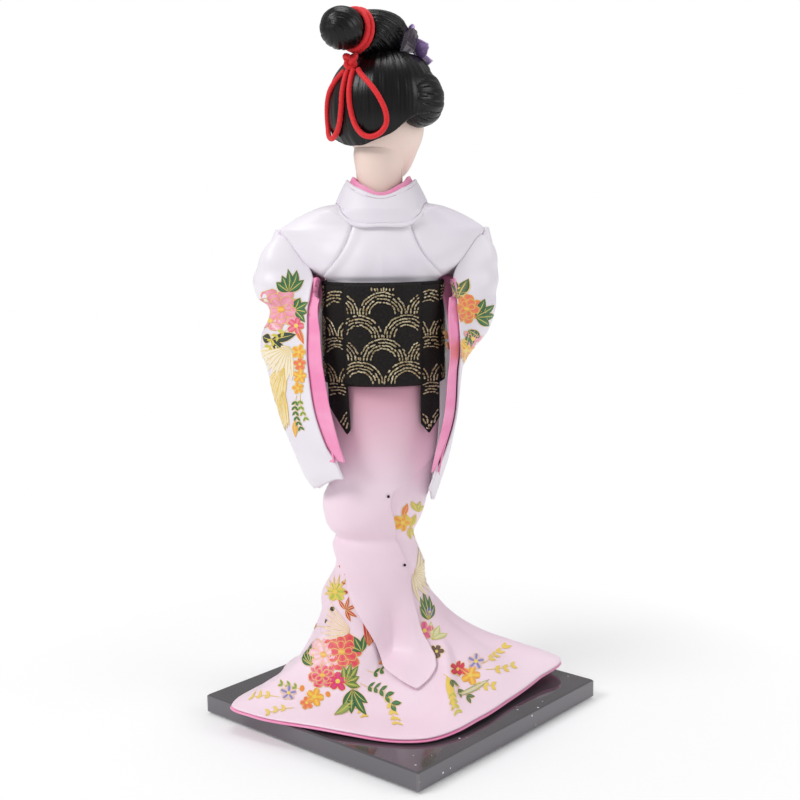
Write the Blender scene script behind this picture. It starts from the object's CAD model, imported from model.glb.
# A geisha display doll on a black square base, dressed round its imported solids.
# Lengths in the tables are millimetres; the mesh builder turns them into metres.

# %% [markdown]
# ## The frame
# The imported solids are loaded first. They carry the real sizes, the two bodies (the figure
# with its base, and the head that turns) and the pieces that stay as they are, such as the
# base plate. Everything made below is hung on one of those two bodies.

# %% Load the frame
import math

import bpy
import numpy as np
from mathutils import Matrix, Vector


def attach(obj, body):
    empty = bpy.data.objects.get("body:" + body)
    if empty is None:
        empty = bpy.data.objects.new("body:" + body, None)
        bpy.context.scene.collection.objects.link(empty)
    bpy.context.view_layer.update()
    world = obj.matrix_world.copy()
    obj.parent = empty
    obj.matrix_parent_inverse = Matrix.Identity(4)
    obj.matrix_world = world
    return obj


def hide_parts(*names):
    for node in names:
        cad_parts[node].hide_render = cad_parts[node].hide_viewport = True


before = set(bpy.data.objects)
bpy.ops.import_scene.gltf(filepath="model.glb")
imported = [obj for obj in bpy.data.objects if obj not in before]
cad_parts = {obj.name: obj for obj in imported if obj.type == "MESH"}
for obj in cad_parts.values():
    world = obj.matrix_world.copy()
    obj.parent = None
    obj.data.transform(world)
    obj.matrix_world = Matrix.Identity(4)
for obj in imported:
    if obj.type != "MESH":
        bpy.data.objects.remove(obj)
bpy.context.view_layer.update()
mm = 0.001

# %% [markdown]
# ## The camera
# The doll is seen from behind, a little from above. The camera was solved from the corners
# of the square base, which give its place and the length of the lens.

# %% Camera
CAMERA_AT = (-347.19, 395.44, 218.50)
CAMERA_YAW, CAMERA_PITCH, CAMERA_ROLL = 0.7192, 0.1564, -0.0133
LENS, SENSOR = 56.745, 36.0


def camera_axes(yaw, pitch, roll):
    """Ahead is yaw turned from -Y and pitch below the level; right is level, then both roll."""
    ahead = np.array([math.sin(yaw) * math.cos(pitch), -math.cos(yaw) * math.cos(pitch), -math.sin(pitch)])
    level = np.array([-math.cos(yaw), -math.sin(yaw), 0.0])
    up = np.cross(level, ahead)
    right = math.cos(roll) * level + math.sin(roll) * up
    return right, -math.sin(roll) * level + math.cos(roll) * up, ahead


right, up, ahead = camera_axes(CAMERA_YAW, CAMERA_PITCH, CAMERA_ROLL)
camera = bpy.data.objects.new("camera", bpy.data.cameras.new("camera"))
camera.data.lens, camera.data.sensor_width = LENS, SENSOR
camera.data.clip_start, camera.data.clip_end = 0.01, 20
turned = Matrix(np.column_stack([right, up, -ahead]).tolist()).to_4x4()
camera.matrix_world = Matrix.Translation(Vector(CAMERA_AT) * mm) @ turned
bpy.context.scene.collection.objects.link(camera)
bpy.context.scene.camera = camera
print("camera at", [round(v, 4) for v in camera.location])

# %% [markdown]
# ## Tools for surfaces
# Every new piece is a surface: a function takes whole arrays of u and v and gives back whole
# arrays of points. A smooth curve through a short table of pairs stands for each outline, as a
# dressmaker reads sizes off a pattern. The doll's own front is -Y in its figure's frame, which
# stands turned on the base, and the head is turned back in line with the base.

# %% Curves through tables
FIGURE_AT, FIGURE_TURN = (12.4, -5.1), math.radians(41.2)
NECK_ACROSS = 0.7


def along(table, place):
    """A cubic between each two pairs, whose slope at a pair is the slope between its neighbours;
    it is held flat past both ends."""
    table = np.asarray(table, float)
    x, y = table[:, 0], table[:, 1]
    ends = [(y[1] - y[0]) / (x[1] - x[0])], [(y[-1] - y[-2]) / (x[-1] - x[-2])]
    slope = np.concatenate([ends[0], (y[2:] - y[:-2]) / (x[2:] - x[:-2]), ends[1]])
    at = np.clip(place, x[0], x[-1])
    i = np.clip(np.searchsorted(x, at, side="right") - 1, 0, len(x) - 2)
    step = x[i + 1] - x[i]
    t = (at - x[i]) / step
    return (
        y[i] * (2 * t**3 - 3 * t**2 + 1)
        + slope[i] * step * (t**3 - 2 * t**2 + t)
        + y[i + 1] * (3 * t**2 - 2 * t**3)
        + slope[i + 1] * step * (t**3 - t**2)
    )


def around(table, degrees):
    """The same curve round a full turn, with the table's ends joined."""
    table = np.asarray(table, float)
    turn = np.array([360.0, 0.0])
    return along(np.vstack([table[-2:] - turn, table, table[:2] + turn]), np.mod(degrees, 360))


def hump(place, middle, half):
    """One at the middle, nothing from the given half width outwards: (1 - t squared) squared."""
    t = np.minimum(np.abs(place - middle) / half, 1)
    return (1 - t * t) ** 2


def ease(place, low, high):
    """A smooth step from 0 at low to 1 at high: 3 t squared - 2 t cubed."""
    t = np.clip((np.asarray(place, float) - low) / (high - low), 0, 1)
    return t * t * (3 - 2 * t)


def mix(a, b, share):
    """A straight blend from a to b."""
    return a + (b - a) * share


def points(x, y, z):
    """Three arrays of coordinates, stretched to one shape, as an array of points."""
    return np.stack(np.broadcast_arrays(x, y, z), axis=-1).astype(float)


def unit(vectors):
    """Each vector over its own length."""
    return vectors / np.maximum(np.linalg.norm(vectors, axis=-1, keepdims=True), 1e-12)


def in_figure(p):
    """From the figure's frame to the base's: a turn about the upright, then a shift."""
    c, s = math.cos(FIGURE_TURN), math.sin(FIGURE_TURN)
    x, y, z = p[..., 0], p[..., 1], p[..., 2]
    return points(FIGURE_AT[0] + c * x - s * y, FIGURE_AT[1] + s * x + c * y, z)


def in_head(p):
    """From the head's frame to the base's: only a shift, because the head looks along -Y."""
    c, s = math.cos(FIGURE_TURN), math.sin(FIGURE_TURN)
    return p + np.array([FIGURE_AT[0] + c * NECK_ACROSS, FIGURE_AT[1] + s * NECK_ACROSS, 0])


# %% Grids into meshes
PLACED = {"figure": in_figure, "head": in_head, "base": lambda p: p}


def quads_of(rows, columns, closed):
    """Corner numbers of each quad of a grid, and each corner's (u, v) share, where the last
    column of a closed grid runs on to the first."""
    i, j = np.meshgrid(np.arange(columns), np.arange(rows))
    width = columns if closed else columns + 1
    cells = np.stack([np.stack([i + a, j + b], -1) for a, b in ((0, 0), (1, 0), (1, 1), (0, 1))], -2)
    cells = cells.reshape(-1, 4, 2)
    return cells[..., 1] * width + cells[..., 0] % width, cells / np.array([columns, rows])


def into_mesh(name, place, vertices, faces, shares=None, paint=None, flat=(1, 1)):
    """Writes whole arrays into a mesh. faces is a list of arrays of quads or triangles, shares the
    (u, v) of their corners, which flat turns into metres of cloth, and paint a colour a corner."""
    faces = [f for f in faces if len(f)]
    used, corners = np.unique(np.concatenate([f.ravel() for f in faces]), return_inverse=True)
    vertices = np.asarray(vertices, float)[used]
    sizes = np.concatenate([np.full(len(f), f.shape[1]) for f in faces])
    mesh = bpy.data.meshes.new(name)
    mesh.vertices.add(len(vertices))
    mesh.vertices.foreach_set("co", (PLACED[place](vertices) * mm).ravel())
    mesh.loops.add(len(corners))
    mesh.loops.foreach_set("vertex_index", corners.astype(np.int32))
    mesh.polygons.add(len(sizes))
    starts = np.concatenate([[0], np.cumsum(sizes)[:-1]])
    mesh.polygons.foreach_set("loop_start", starts.astype(np.int32))
    mesh.update(calc_edges=True)
    mesh.polygons.foreach_set("use_smooth", np.ones(len(sizes), bool))
    if shares is not None:
        uv = np.concatenate([s.reshape(-1, 2) for s in shares if len(s)]) * np.array(flat)
        mesh.uv_layers.new(name="cloth").data.foreach_set("uv", uv.ravel().astype(np.float32))
    if paint is not None:
        colour = mesh.color_attributes.new("paint", "FLOAT_COLOR", "CORNER")
        colour.data.foreach_set("color", np.asarray(paint, np.float32).ravel())
    return mesh


def piece(name, mesh, body, material, stands_for=()):
    """Makes an object of a mesh, gives it its finish, hangs it on its body and names what it
    stands for."""
    made = bpy.data.objects.new(name, mesh)
    bpy.context.scene.collection.objects.link(made)
    mesh.materials.append(material)
    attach(made, body)
    if stands_for:
        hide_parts(*stands_for)
    print(f"{name}: {len(mesh.polygons)} faces")
    return made


def normals_of(surface, u, v, closed=False, step=1e-3):
    """The cross product of the slopes along u and along v, of length one."""
    inside = (lambda a: a) if closed else (lambda a: np.clip(a, 0, 1))
    along_u = surface(inside(u + step), v) - surface(inside(u - step), v)
    along_v = surface(u, np.clip(v + step, 0, 1)) - surface(u, np.clip(v - step, 0, 1))
    return unit(np.cross(along_u, along_v))


def shares_grid(rows, columns, closed=False):
    """Arrays of u and v over a grid; a closed grid leaves out the last column."""
    u = np.arange(columns if closed else columns + 1) / columns
    return np.meshgrid(u, np.arange(rows + 1) / rows)


def egg_hole(at, half):
    """An egg to keep clear of: gives its middle and how far out a point is as a share of it."""
    at, half = np.asarray(at, float), np.asarray(half, float)
    return lambda p: (np.broadcast_to(at, p.shape), np.linalg.norm((p - at) / half, axis=-1))


def cloth(surface, columns, rows, thickness, closed=False, roll=0.35, holes=()):
    """Two skins, half the thickness to each side of the surface, joined by a rounded edge whose
    middle line stands out by a share of the thickness. Quads that reach into a hole are left out,
    and the corners round it are drawn onto the hole's rim. Gives vertices, faces, shares."""
    u, v = shares_grid(rows, columns, closed)
    here = surface(u, v).reshape(-1, 3)
    normal = normals_of(surface, u, v, closed).reshape(-1, 3)
    quads, place = quads_of(rows, columns, closed)
    for hole in holes:
        middle, share = hole(here)
        keep = (share[quads] > 1).all(axis=1)
        rim = np.intersect1d(quads[keep], quads[~keep])
        here[rim] = middle[rim] + (here[rim] - middle[rim]) / share[rim, None]
        quads, place = quads[keep], place[keep]
    count = len(here)
    start, end = quads.ravel(), np.roll(quads, -1, axis=1).ravel()
    open_edge = ~np.isin(start * count + end, end * count + start)
    spots = np.stack([place.reshape(-1, 2), np.roll(place, -1, axis=1).reshape(-1, 2)], 1)[open_edge]
    start, end = start[open_edge], end[open_edge]
    out = np.zeros_like(here)
    outward = unit(np.cross(here[end] - here[start], normal[start]))
    np.add.at(out, start, outward)
    np.add.at(out, end, outward)
    edge_line = here + unit(out) * thickness * roll
    faces = [
        quads, (quads + count)[:, ::-1],
        np.stack([end, start, start + 2 * count, end + 2 * count], -1),
        np.stack([end + 2 * count, start + 2 * count, start + count, end + count], -1),
    ]
    edge = spots[:, [1, 0, 0, 1]]
    vertices = np.concatenate([here + normal * thickness / 2, here - normal * thickness / 2, edge_line])
    return vertices, faces, [place, place[:, ::-1], edge, edge]


def beside(surface, distance, closed=True):
    """A surface that follows another one at a distance along its normal."""
    return lambda u, v: surface(u, v) - distance * normals_of(surface, u, v, closed)


def outwards(vertices, faces, shares):
    """Turns all faces over if the volume that they close, a sum over their fans of triangles of
    a sixth of each corner product, comes out below nothing."""
    volume = sum(
        np.einsum("ij,ij->i", vertices[f[:, 0]], np.cross(vertices[f[:, k]], vertices[f[:, k + 1]])).sum()
        for f in faces for k in range(1, f.shape[1] - 1)
    )
    if volume < 0:
        return vertices, [f[:, ::-1] for f in faces], [s[:, ::-1] for s in shares]
    return vertices, faces, shares


def closed_form(surface, columns, rows):
    """A form like an egg: columns run round it and rows from pole to pole, where the quads of the
    first and last row are drawn together to triangles on one point each."""
    u, v = shares_grid(rows, columns, True)
    ring = surface(u, v)[1:-1].reshape(-1, 3)
    poles = np.array([surface(np.array([[0.0]]), np.array([[e]]))[0, 0] for e in (0.0, 1.0)])
    quads, place = quads_of(rows - 2, columns, True)
    place = place * np.array([1, (rows - 2) / rows]) + np.array([0, 1 / rows])
    i = np.arange(columns)
    after = (i + 1) % columns
    last = (rows - 2) * columns
    top = np.stack([np.full(columns, len(ring)), after, i], -1)
    low = np.stack([np.full(columns, len(ring) + 1), last + i, last + after], -1)
    share_u = np.stack([i + 0.5, i + 1, i], -1) / columns
    top_shares = np.stack([share_u, np.broadcast_to([0, 1 / rows, 1 / rows], share_u.shape)], -1)
    low_shares = np.stack(
        [share_u[:, [0, 2, 1]], np.broadcast_to([1, 1 - 1 / rows, 1 - 1 / rows], share_u.shape)], -1
    )
    return outwards(np.concatenate([ring, poles]), [quads, top, low], [place, top_shares, low_shares])

# %% [markdown]
# ## Finishes
# A finish is a principled surface with three layers of detail: slow changes of colour over
# centimetres, the weave or grain at its true pitch, and a bump from that grain. Cloth reads
# its own map, in metres of cloth, so the weave follows every fold; hard pieces read object
# coordinates.

# %% Colour and node helpers
def srgb(r, g, b):
    """A colour as seen, 0 to 255, as the linear light that the renderer wants."""
    seen = np.array([r, g, b]) / 255
    light = np.where(seen <= 0.04045, seen / 12.92, ((seen + 0.055) / 1.055) ** 2.4)
    return (*light.tolist(), 1.0)


def node(tree, kind, inputs=None, **settings):
    """Adds a node, sets its options, then links or sets each input by its name or number."""
    made = tree.nodes.new(kind)
    for key, value in settings.items():
        setattr(made, key, value)
    for key, value in (inputs or {}).items():
        socket = made.inputs[key]
        if isinstance(value, bpy.types.NodeSocket):
            tree.links.new(value, socket)
        else:
            socket.default_value = value
    return made


def math_of(tree, operation, a, b=0.0):
    """One sum, product or comparison of two numbers."""
    return node(tree, "ShaderNodeMath", {0: a, 1: b}, operation=operation).outputs[0]


def blend_of(tree, share, a, b):
    """Two colours blended by a share."""
    inputs = {"Factor": share, 6: a, 7: b}
    return node(tree, "ShaderNodeMix", inputs, data_type="RGBA").outputs[2]


def level_of(tree, value, low, high, out_low=0.0, out_high=1.0):
    """Stretches a value from one range to another, held at its ends."""
    inputs = {0: value, 1: low, 2: high, 3: out_low, 4: out_high}
    return node(tree, "ShaderNodeMapRange", inputs).outputs[0]


def start_finish(name, roughness, metallic=0.0, **sockets):
    """An empty principled finish; sockets are the numbers that are the same all over it."""
    material = bpy.data.materials.new(name)
    material.use_nodes = True
    tree = material.node_tree
    shader = tree.nodes["Principled BSDF"]
    shader.inputs["Roughness"].default_value = roughness
    shader.inputs["Metallic"].default_value = metallic
    for key, value in sockets.items():
        shader.inputs[key.replace("_", " ")].default_value = value
    return material, tree, shader


def read_map(tree, squeeze=(1, 1, 1)):
    """The piece's own map, in metres of cloth, squeezed along either way."""
    spot = node(tree, "ShaderNodeUVMap", uv_map="cloth").outputs[0]
    return node(tree, "ShaderNodeMapping", {0: spot, 3: squeeze}).outputs[0]


def read_object(tree, squeeze=(1, 1, 1)):
    """Object coordinates, in metres, squeezed along any way."""
    spot = node(tree, "ShaderNodeTexCoord").outputs["Object"]
    return node(tree, "ShaderNodeMapping", {0: spot, 3: squeeze}).outputs[0]


def noise_of(tree, spot, scale, detail=3.0, roughness=0.5):
    """Smooth noise, 0 to 1; scale is in bumps a metre."""
    inputs = {"Vector": spot, "Scale": scale, "Detail": detail, "Roughness": roughness}
    return node(tree, "ShaderNodeTexNoise", inputs).outputs[0]


def bands_of(tree, spot, pitch, way="X", wobble=0.0):
    """Even bands across one way, a band every pitch in metres."""
    inputs = {"Vector": spot, "Scale": 2 * math.pi / 20 / pitch, "Distortion": wobble, "Detail": 1.0}
    return node(tree, "ShaderNodeTexWave", inputs, bands_direction=way).outputs["Fac"]


def raise_by(tree, shader, height, strength, distance):
    """A bump under the shader's normal, of so many metres."""
    bump = node(tree, "ShaderNodeBump", {"Height": height, "Strength": strength, "Distance": distance})
    tree.links.new(bump.outputs[0], shader.inputs["Normal"])


# %% [markdown]
# Satin is a weave whose long floats lie one way, so it gleams softly and shows fine lines
# across. The threads are a quarter of a millimetre apart; they move both the bump and, very
# slightly, the colour. A broad noise gives the gentle clouding of a dyed cloth.

# %% Satin, lining and brocade cloth
def satin(
    name, pale, deep, roughness=0.38, sheen=0.25, cloud=14, thread=0.00024, attribute=None, waist=None
):
    """Colour = a cloud of noise between pale and deep, times a fine warp; height = warp + weft.
    waist is a deeper dye that comes in over the heights of WAIST_DYE."""
    material, tree, shader = start_finish(
        name, roughness, Sheen_Weight=sheen, Sheen_Roughness=0.4, Specular_IOR_Level=0.42,
    )
    spot = read_map(tree)
    clouds = level_of(tree, noise_of(tree, spot, cloud, 2.0), 0.35, 0.65)
    if attribute:
        base = node(tree, "ShaderNodeAttribute", attribute_name=attribute).outputs["Color"]
        colour = blend_of(tree, math_of(tree, "MULTIPLY", clouds, 0.06), base, pale)
    else:
        colour = blend_of(tree, clouds, pale, deep)
    if waist:
        high = node(tree, "ShaderNodeSeparateXYZ", {0: read_object(tree)}).outputs[2]
        colour = blend_of(tree, level_of(tree, high, *WAIST_DYE, 0, 0.8), colour, waist)
    warp, weft = bands_of(tree, spot, thread), bands_of(tree, spot, thread * 2.6, "Y", 0.4)
    threads = math_of(
        tree, "ADD", math_of(tree, "MULTIPLY", warp, 0.65), math_of(tree, "MULTIPLY", weft, 0.35)
    )
    slubs = noise_of(tree, read_map(tree, (2600, 60, 1)), 1.0, 2.0)
    dark = node(tree, "ShaderNodeHueSaturation", {"Value": 0.93, "Color": colour}).outputs[0]
    woven = blend_of(tree, math_of(tree, "MULTIPLY", threads, 0.35), colour, dark)
    tree.links.new(
        blend_of(tree, level_of(tree, slubs, 0.62, 0.8, 0, 0.5), woven, dark), shader.inputs["Base Color"]
    )
    gloss = level_of(tree, noise_of(tree, spot, 90, 2.0), 0.3, 0.7, roughness - 0.05, roughness + 0.07)
    tree.links.new(gloss, shader.inputs["Roughness"])
    height = math_of(
        tree, "ADD", math_of(tree, "MULTIPLY", threads, 0.5), math_of(tree, "MULTIPLY", slubs, 0.5)
    )
    raise_by(tree, shader, height, 0.22, 0.00006)
    return material


WAIST_DYE = (0.100, 0.140)
white_satin = satin("white_satin", srgb(240, 235, 242), srgb(233, 226, 238), cloud=18)
pink_satin = satin(
    "pink_satin", srgb(250, 228, 240), srgb(246, 218, 233), cloud=12, waist=srgb(220, 148, 172)
)
lining_pink = satin("lining_pink", srgb(252, 170, 208), srgb(247, 145, 192), 0.5, 0.3, 60)
lining_rose = satin("lining_rose", srgb(226, 84, 142), srgb(205, 58, 118), 0.5, 0.3, 60)
collar_white = satin("collar_white", srgb(240, 235, 243), srgb(233, 226, 238), 0.46, 0.35, 30)
print_satin = satin(
    "print_satin", srgb(255, 250, 250), srgb(255, 250, 250), 0.44, 0.3, 40, attribute="paint"
)

# %% [markdown]
# The sash is a black twill under gold thread. The twill's ribs run slantwise, so two waves
# are laid over each other at an angle; the gold thread is a metal strip wound on silk, which
# glitters in short lengths.

# %% Sash cloth and gold thread
def brocade_cloth():
    """Near-black, with slanting ribs every third of a millimetre and a little brown dust."""
    material, tree, shader = start_finish("brocade", 0.62, Specular_IOR_Level=0.22)
    spot = read_map(tree)
    slant = node(tree, "ShaderNodeMapping", {0: spot, 2: (0, 0, 0.9)}).outputs[0]
    ribs = bands_of(tree, slant, 0.00034)
    dust = noise_of(tree, spot, 900, 3.0)
    colour = blend_of(tree, level_of(tree, dust, 0.45, 0.75), srgb(19, 16, 17), srgb(44, 36, 30))
    dark = blend_of(tree, math_of(tree, "MULTIPLY", ribs, 0.5), colour, srgb(8, 7, 8))
    tree.links.new(dark, shader.inputs["Base Color"])
    raise_by(tree, shader, math_of(tree, "ADD", ribs, dust), 0.5, 0.0001)
    return material


def gold_thread():
    """Pale gold whose colour and gloss change from stitch to stitch."""
    material, tree, shader = start_finish("gold_thread", 0.34, 0.6)
    spot = read_object(tree)
    stitch = noise_of(tree, spot, 1100, 2.0)
    worn = noise_of(tree, spot, 160, 2.0)
    colour = blend_of(tree, level_of(tree, stitch, 0.35, 0.65), srgb(176, 148, 98), srgb(252, 242, 210))
    tree.links.new(
        blend_of(tree, level_of(tree, worn, 0.5, 0.75, 0, 0.4), colour, srgb(112, 92, 62)),
        shader.inputs["Base Color"],
    )
    tree.links.new(level_of(tree, stitch, 0.3, 0.7, 0.5, 0.22), shader.inputs["Roughness"])
    raise_by(tree, shader, noise_of(tree, spot, 5200, 2.0), 0.4, 0.00008)
    return material


brocade, gold = brocade_cloth(), gold_thread()

# %% [markdown]
# Dressed hair is thousands of combed strands under a little oil. Its map has u across the
# strands and v along them, so noise squeezed hard along v gives lines that run with the comb,
# in the bump as well as in the faint brown of the colour.

# %% Hair, skin, cord and small finishes
def hair_finish():
    """Near-black with long thin streaks; the bump has two widths of strand."""
    material, tree, shader = start_finish("hair", 0.27, Specular_IOR_Level=0.3)
    fine = noise_of(tree, read_map(tree, (5200, 40, 1)), 1.0, 3.0, 0.6)
    locks = noise_of(tree, read_map(tree, (1300, 22, 1)), 1.0, 2.0)
    colour = blend_of(tree, level_of(tree, locks, 0.42, 0.75), srgb(6, 5, 6), srgb(20, 16, 16))
    tree.links.new(colour, shader.inputs["Base Color"])
    tree.links.new(level_of(tree, fine, 0.3, 0.7, 0.2, 0.36), shader.inputs["Roughness"])
    height = math_of(
        tree, "ADD", math_of(tree, "MULTIPLY", fine, 0.45), math_of(tree, "MULTIPLY", locks, 0.55)
    )
    raise_by(tree, shader, height, 0.55, 0.00016)
    return material


def grained(
    name, pale, deep, roughness, scale, squeeze=(1, 1, 1), bump=0.15, depth=0.0001, metallic=0.0, **sockets
):
    """Colour and height from one noise over the object, squeezed along its grain."""
    material, tree, shader = start_finish(name, roughness, metallic, **sockets)
    grain = noise_of(tree, read_object(tree, squeeze), scale, 4.0)
    tree.links.new(
        blend_of(tree, level_of(tree, grain, 0.35, 0.65), pale, deep), shader.inputs["Base Color"]
    )
    tree.links.new(
        level_of(tree, grain, 0.3, 0.7, roughness - 0.04, roughness + 0.05), shader.inputs["Roughness"]
    )
    raise_by(tree, shader, grain, bump, depth)
    return material


def cord_finish():
    """Scarlet silk whose fine fibres run along the strands, darker between them."""
    material, tree, shader = start_finish("red_cord", 0.62, Sheen_Weight=0.12, Sheen_Roughness=0.5)
    fibres = noise_of(tree, read_map(tree, (900, 2600, 1)), 1.0, 3.0)
    colour = blend_of(tree, level_of(tree, fibres, 0.35, 0.7), srgb(206, 10, 24), srgb(240, 26, 36))
    tree.links.new(colour, shader.inputs["Base Color"])
    raise_by(tree, shader, fibres, 0.5, 0.00015)
    return material


def petal_finish():
    """Violet silk, deep at the heart and paler towards the tip, with fine veins along it."""
    material, tree, shader = start_finish("petal_satin", 0.42, Sheen_Weight=0.4)
    spot = node(tree, "ShaderNodeUVMap", uv_map="cloth").outputs[0]
    out = node(tree, "ShaderNodeSeparateXYZ", {0: spot}).outputs[1]
    veins = bands_of(tree, spot, 0.0007, "X", 1.2)
    colour = blend_of(tree, level_of(tree, out, 0.0005, 0.0075), srgb(128, 80, 182), srgb(212, 182, 236))
    veined = blend_of(tree, math_of(tree, "MULTIPLY", veins, 0.3), colour, srgb(140, 96, 192))
    tree.links.new(veined, shader.inputs["Base Color"])
    raise_by(tree, shader, veins, 0.3, 0.0001)
    return material


hair = hair_finish()
skin = grained(
    "skin", srgb(238, 214, 203), srgb(232, 204, 192), 0.5, 60, bump=0.06, depth=0.00005,
    Specular_IOR_Level=0.4,
)
padding = grained("padding", srgb(240, 234, 224), srgb(226, 217, 203), 0.9, 700, (1, 1, 0.4), 0.6, 0.0002)
wood = grained("wood", srgb(208, 172, 124), srgb(172, 132, 86), 0.66, 140, (1, 1, 0.08), 0.35, 0.0001)
steel = grained("steel", srgb(178, 180, 184), srgb(150, 152, 158), 0.32, 500, (1, 1, 8), 0.1, 0.00003, 1.0)
red_cord, petal_satin = cord_finish(), petal_finish()
sheer_ribbon = satin("sheer_ribbon", srgb(74, 62, 78), srgb(50, 42, 54), 0.36, 0.2, 200, 0.0004)
sheer_ribbon.node_tree.nodes["Principled BSDF"].inputs["Alpha"].default_value = 0.72
pin_black = grained("pin_black", srgb(34, 32, 38), srgb(20, 19, 24), 0.28, 900, metallic=0.6)
print(len(bpy.data.materials), "finishes")

# %% [markdown]
# ## The base plate
# The real base is a square board in thick black lacquer. Its solid is already right, so it
# only gets a finish: a deep, slightly warm black under a clear coat, faint polishing marks,
# a few specks of dust and chips, and a paler line where the edges have rubbed.

# %% Lacquer on the base
BASE_HALF, BASE_HIGH = 0.060, 0.0084


def lacquer_finish():
    """Colour = black to warm grey by noise, greyer on the sides, then a faint rub along the edges,
    where two of the distances to the plate's faces are small, then white specks of dust."""
    material, tree, shader = start_finish("lacquer", 0.16, Coat_Weight=0.6, Coat_Roughness=0.05)
    spot = read_object(tree)
    clouds = noise_of(tree, spot, 26, 3.0)
    colour = blend_of(tree, level_of(tree, clouds, 0.35, 0.65), srgb(58, 54, 58), srgb(72, 67, 72))
    x, y, z = node(tree, "ShaderNodeSeparateXYZ", {0: spot}).outputs
    near = [
        math_of(tree, "GREATER_THAN", math_of(tree, "ABSOLUTE", along_way), half - 0.0009)
        for along_way, half in (
            (x, BASE_HALF), (y, BASE_HALF), (math_of(tree, "SUBTRACT", z, BASE_HIGH / 2), BASE_HIGH / 2)
        )
    ]
    edges = math_of(
        tree, "GREATER_THAN", math_of(tree, "ADD", math_of(tree, "ADD", near[0], near[1]), near[2]), 1.5
    )
    on_side = level_of(tree, z, BASE_HIGH - 0.0009, BASE_HIGH - 0.0003, 1.0, 0.0)
    sided = blend_of(tree, on_side, colour, srgb(96, 92, 98))
    rubbed = blend_of(tree, math_of(tree, "MULTIPLY", edges, 0.1), sided, srgb(176, 172, 176))
    chips = node(tree, "ShaderNodeTexVoronoi", {"Vector": spot, "Scale": 260.0}).outputs["Distance"]
    rare = level_of(tree, noise_of(tree, spot, 75, 1.0), 0.58, 0.63)
    specks = math_of(tree, "MULTIPLY", math_of(tree, "LESS_THAN", chips, 0.11), rare)
    tree.links.new(blend_of(tree, specks, rubbed, srgb(232, 230, 232)), shader.inputs["Base Color"])
    tree.links.new(level_of(tree, clouds, 0.3, 0.7, 0.1, 0.2), shader.inputs["Roughness"])
    raise_by(tree, shader, noise_of(tree, spot, 60, 2.0), 0.06, 0.0004)
    return material


lacquer = lacquer_finish()
FINISH_OF_NODE = {
    "base_plate": lacquer, "base_screw_left": steel, "base_screw_right": steel, "foot_block": wood,
    "leg_post": wood, "bust": skin, "flower_pin": steel, "hand_left": skin, "hand_right": skin,
}
for node_name, material in FINISH_OF_NODE.items():
    for material_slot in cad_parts[node_name].material_slots:
        material_slot.material = material
print("refinished:", ", ".join(FINISH_OF_NODE))

# %% [markdown]
# ## The red cord's loops
# A limp silk cord ties the top knot. From the knot behind it each end makes a hanging loop
# that lies on the back of the head and goes back under the knot. The cord is round and laid
# from four strands, so its section has four lobes that turn as it runs.

# %% Loops of the cord
HEAD_AT = np.array([0, -4.5, 250.5])
HAIR_AT, HAIR_HALF = np.array([0, -3.5, 259.5]), np.array([23.0, 22.0, 21.0])
CORD_RADIUS, CORD_STAND = 1.15, 1.5
LAY_PITCH, STRANDS, LOBE_SHARE, HAIR_FULL = 3.6, 4, 0.17, 3.2
LOOP_ROUTE = [
    (10.5, 11.8), (15, 10.1), (22, 7.5), (30, 4), (37, -0.5), (42, -5.5), (42.5, -10), (37, -13.5),
    (28, -15.1), (18.5, -14.1), (10.5, -10), (6, -3.5), (4.5, 3), (4.2, 8.5), (4.2, 11.8),
]
LOOP_REST = -8.5


def smooth_route(stops, count):
    """A uniform Catmull-Rom curve through the stops, as so many points."""
    stops = np.asarray(stops, float)
    stops = np.vstack([2 * stops[0] - stops[1], stops, 2 * stops[-1] - stops[-2]])
    t = np.linspace(0, len(stops) - 3, count)
    i = np.minimum(t.astype(int), len(stops) - 4)
    f = (t - i)[:, None]
    a, b, c, d = (stops[i + k] for k in range(4))
    return 0.5 * (2 * b + (c - a) * f + (2 * a - 5 * b + 4 * c - d) * f**2 + (3 * b - a - 3 * c + d) * f**3)


def frames_along(path):
    """Two directions square to a path at each point, each turned as little as the path allows:
    the last one is carried on and made square to the new heading."""
    heading = unit(np.gradient(path, axis=0))
    side = np.cross(heading[0], [0.31, 0.87, 0.38])
    sides = []
    for ahead_here in heading:
        side = unit(side - ahead_here * (side @ ahead_here))
        sides.append(side)
    sides = np.array(sides)
    return sides, np.cross(heading, sides), heading


def swept(path, radius_of, around_steps):
    """A tube: each ring is the path's point plus the two square directions times the radius at
    (turn, length so far), and both ends close to a point."""
    path = np.asarray(path, float)
    side, other, _ = frames_along(path)
    length = np.concatenate([[0], np.cumsum(np.linalg.norm(np.diff(path, axis=0), axis=1))])
    angle = np.arange(around_steps) / around_steps * 2 * math.pi
    radius = radius_of(angle[None, :], length[:, None])[..., None]
    ring = path[:, None] + radius * (
        np.cos(angle)[None, :, None] * side[:, None] + np.sin(angle)[None, :, None] * other[:, None]
    )
    rows = len(path) - 1
    quads, place = quads_of(rows, around_steps, True)
    vertices = np.concatenate([ring.reshape(-1, 3), path[:1], path[-1:]])
    i = np.arange(around_steps)
    after = (i + 1) % around_steps
    first = np.stack([np.full(around_steps, rows * around_steps + around_steps), after, i], -1)
    last_row = rows * around_steps
    last = np.stack(
        [np.full(around_steps, last_row + around_steps + 1), last_row + i, last_row + after], -1
    )
    ends = [np.zeros((around_steps, 3, 2)), np.ones((around_steps, 3, 2))]
    return (*outwards(vertices, [quads, first, last], [place, *ends]), length[-1])


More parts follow.
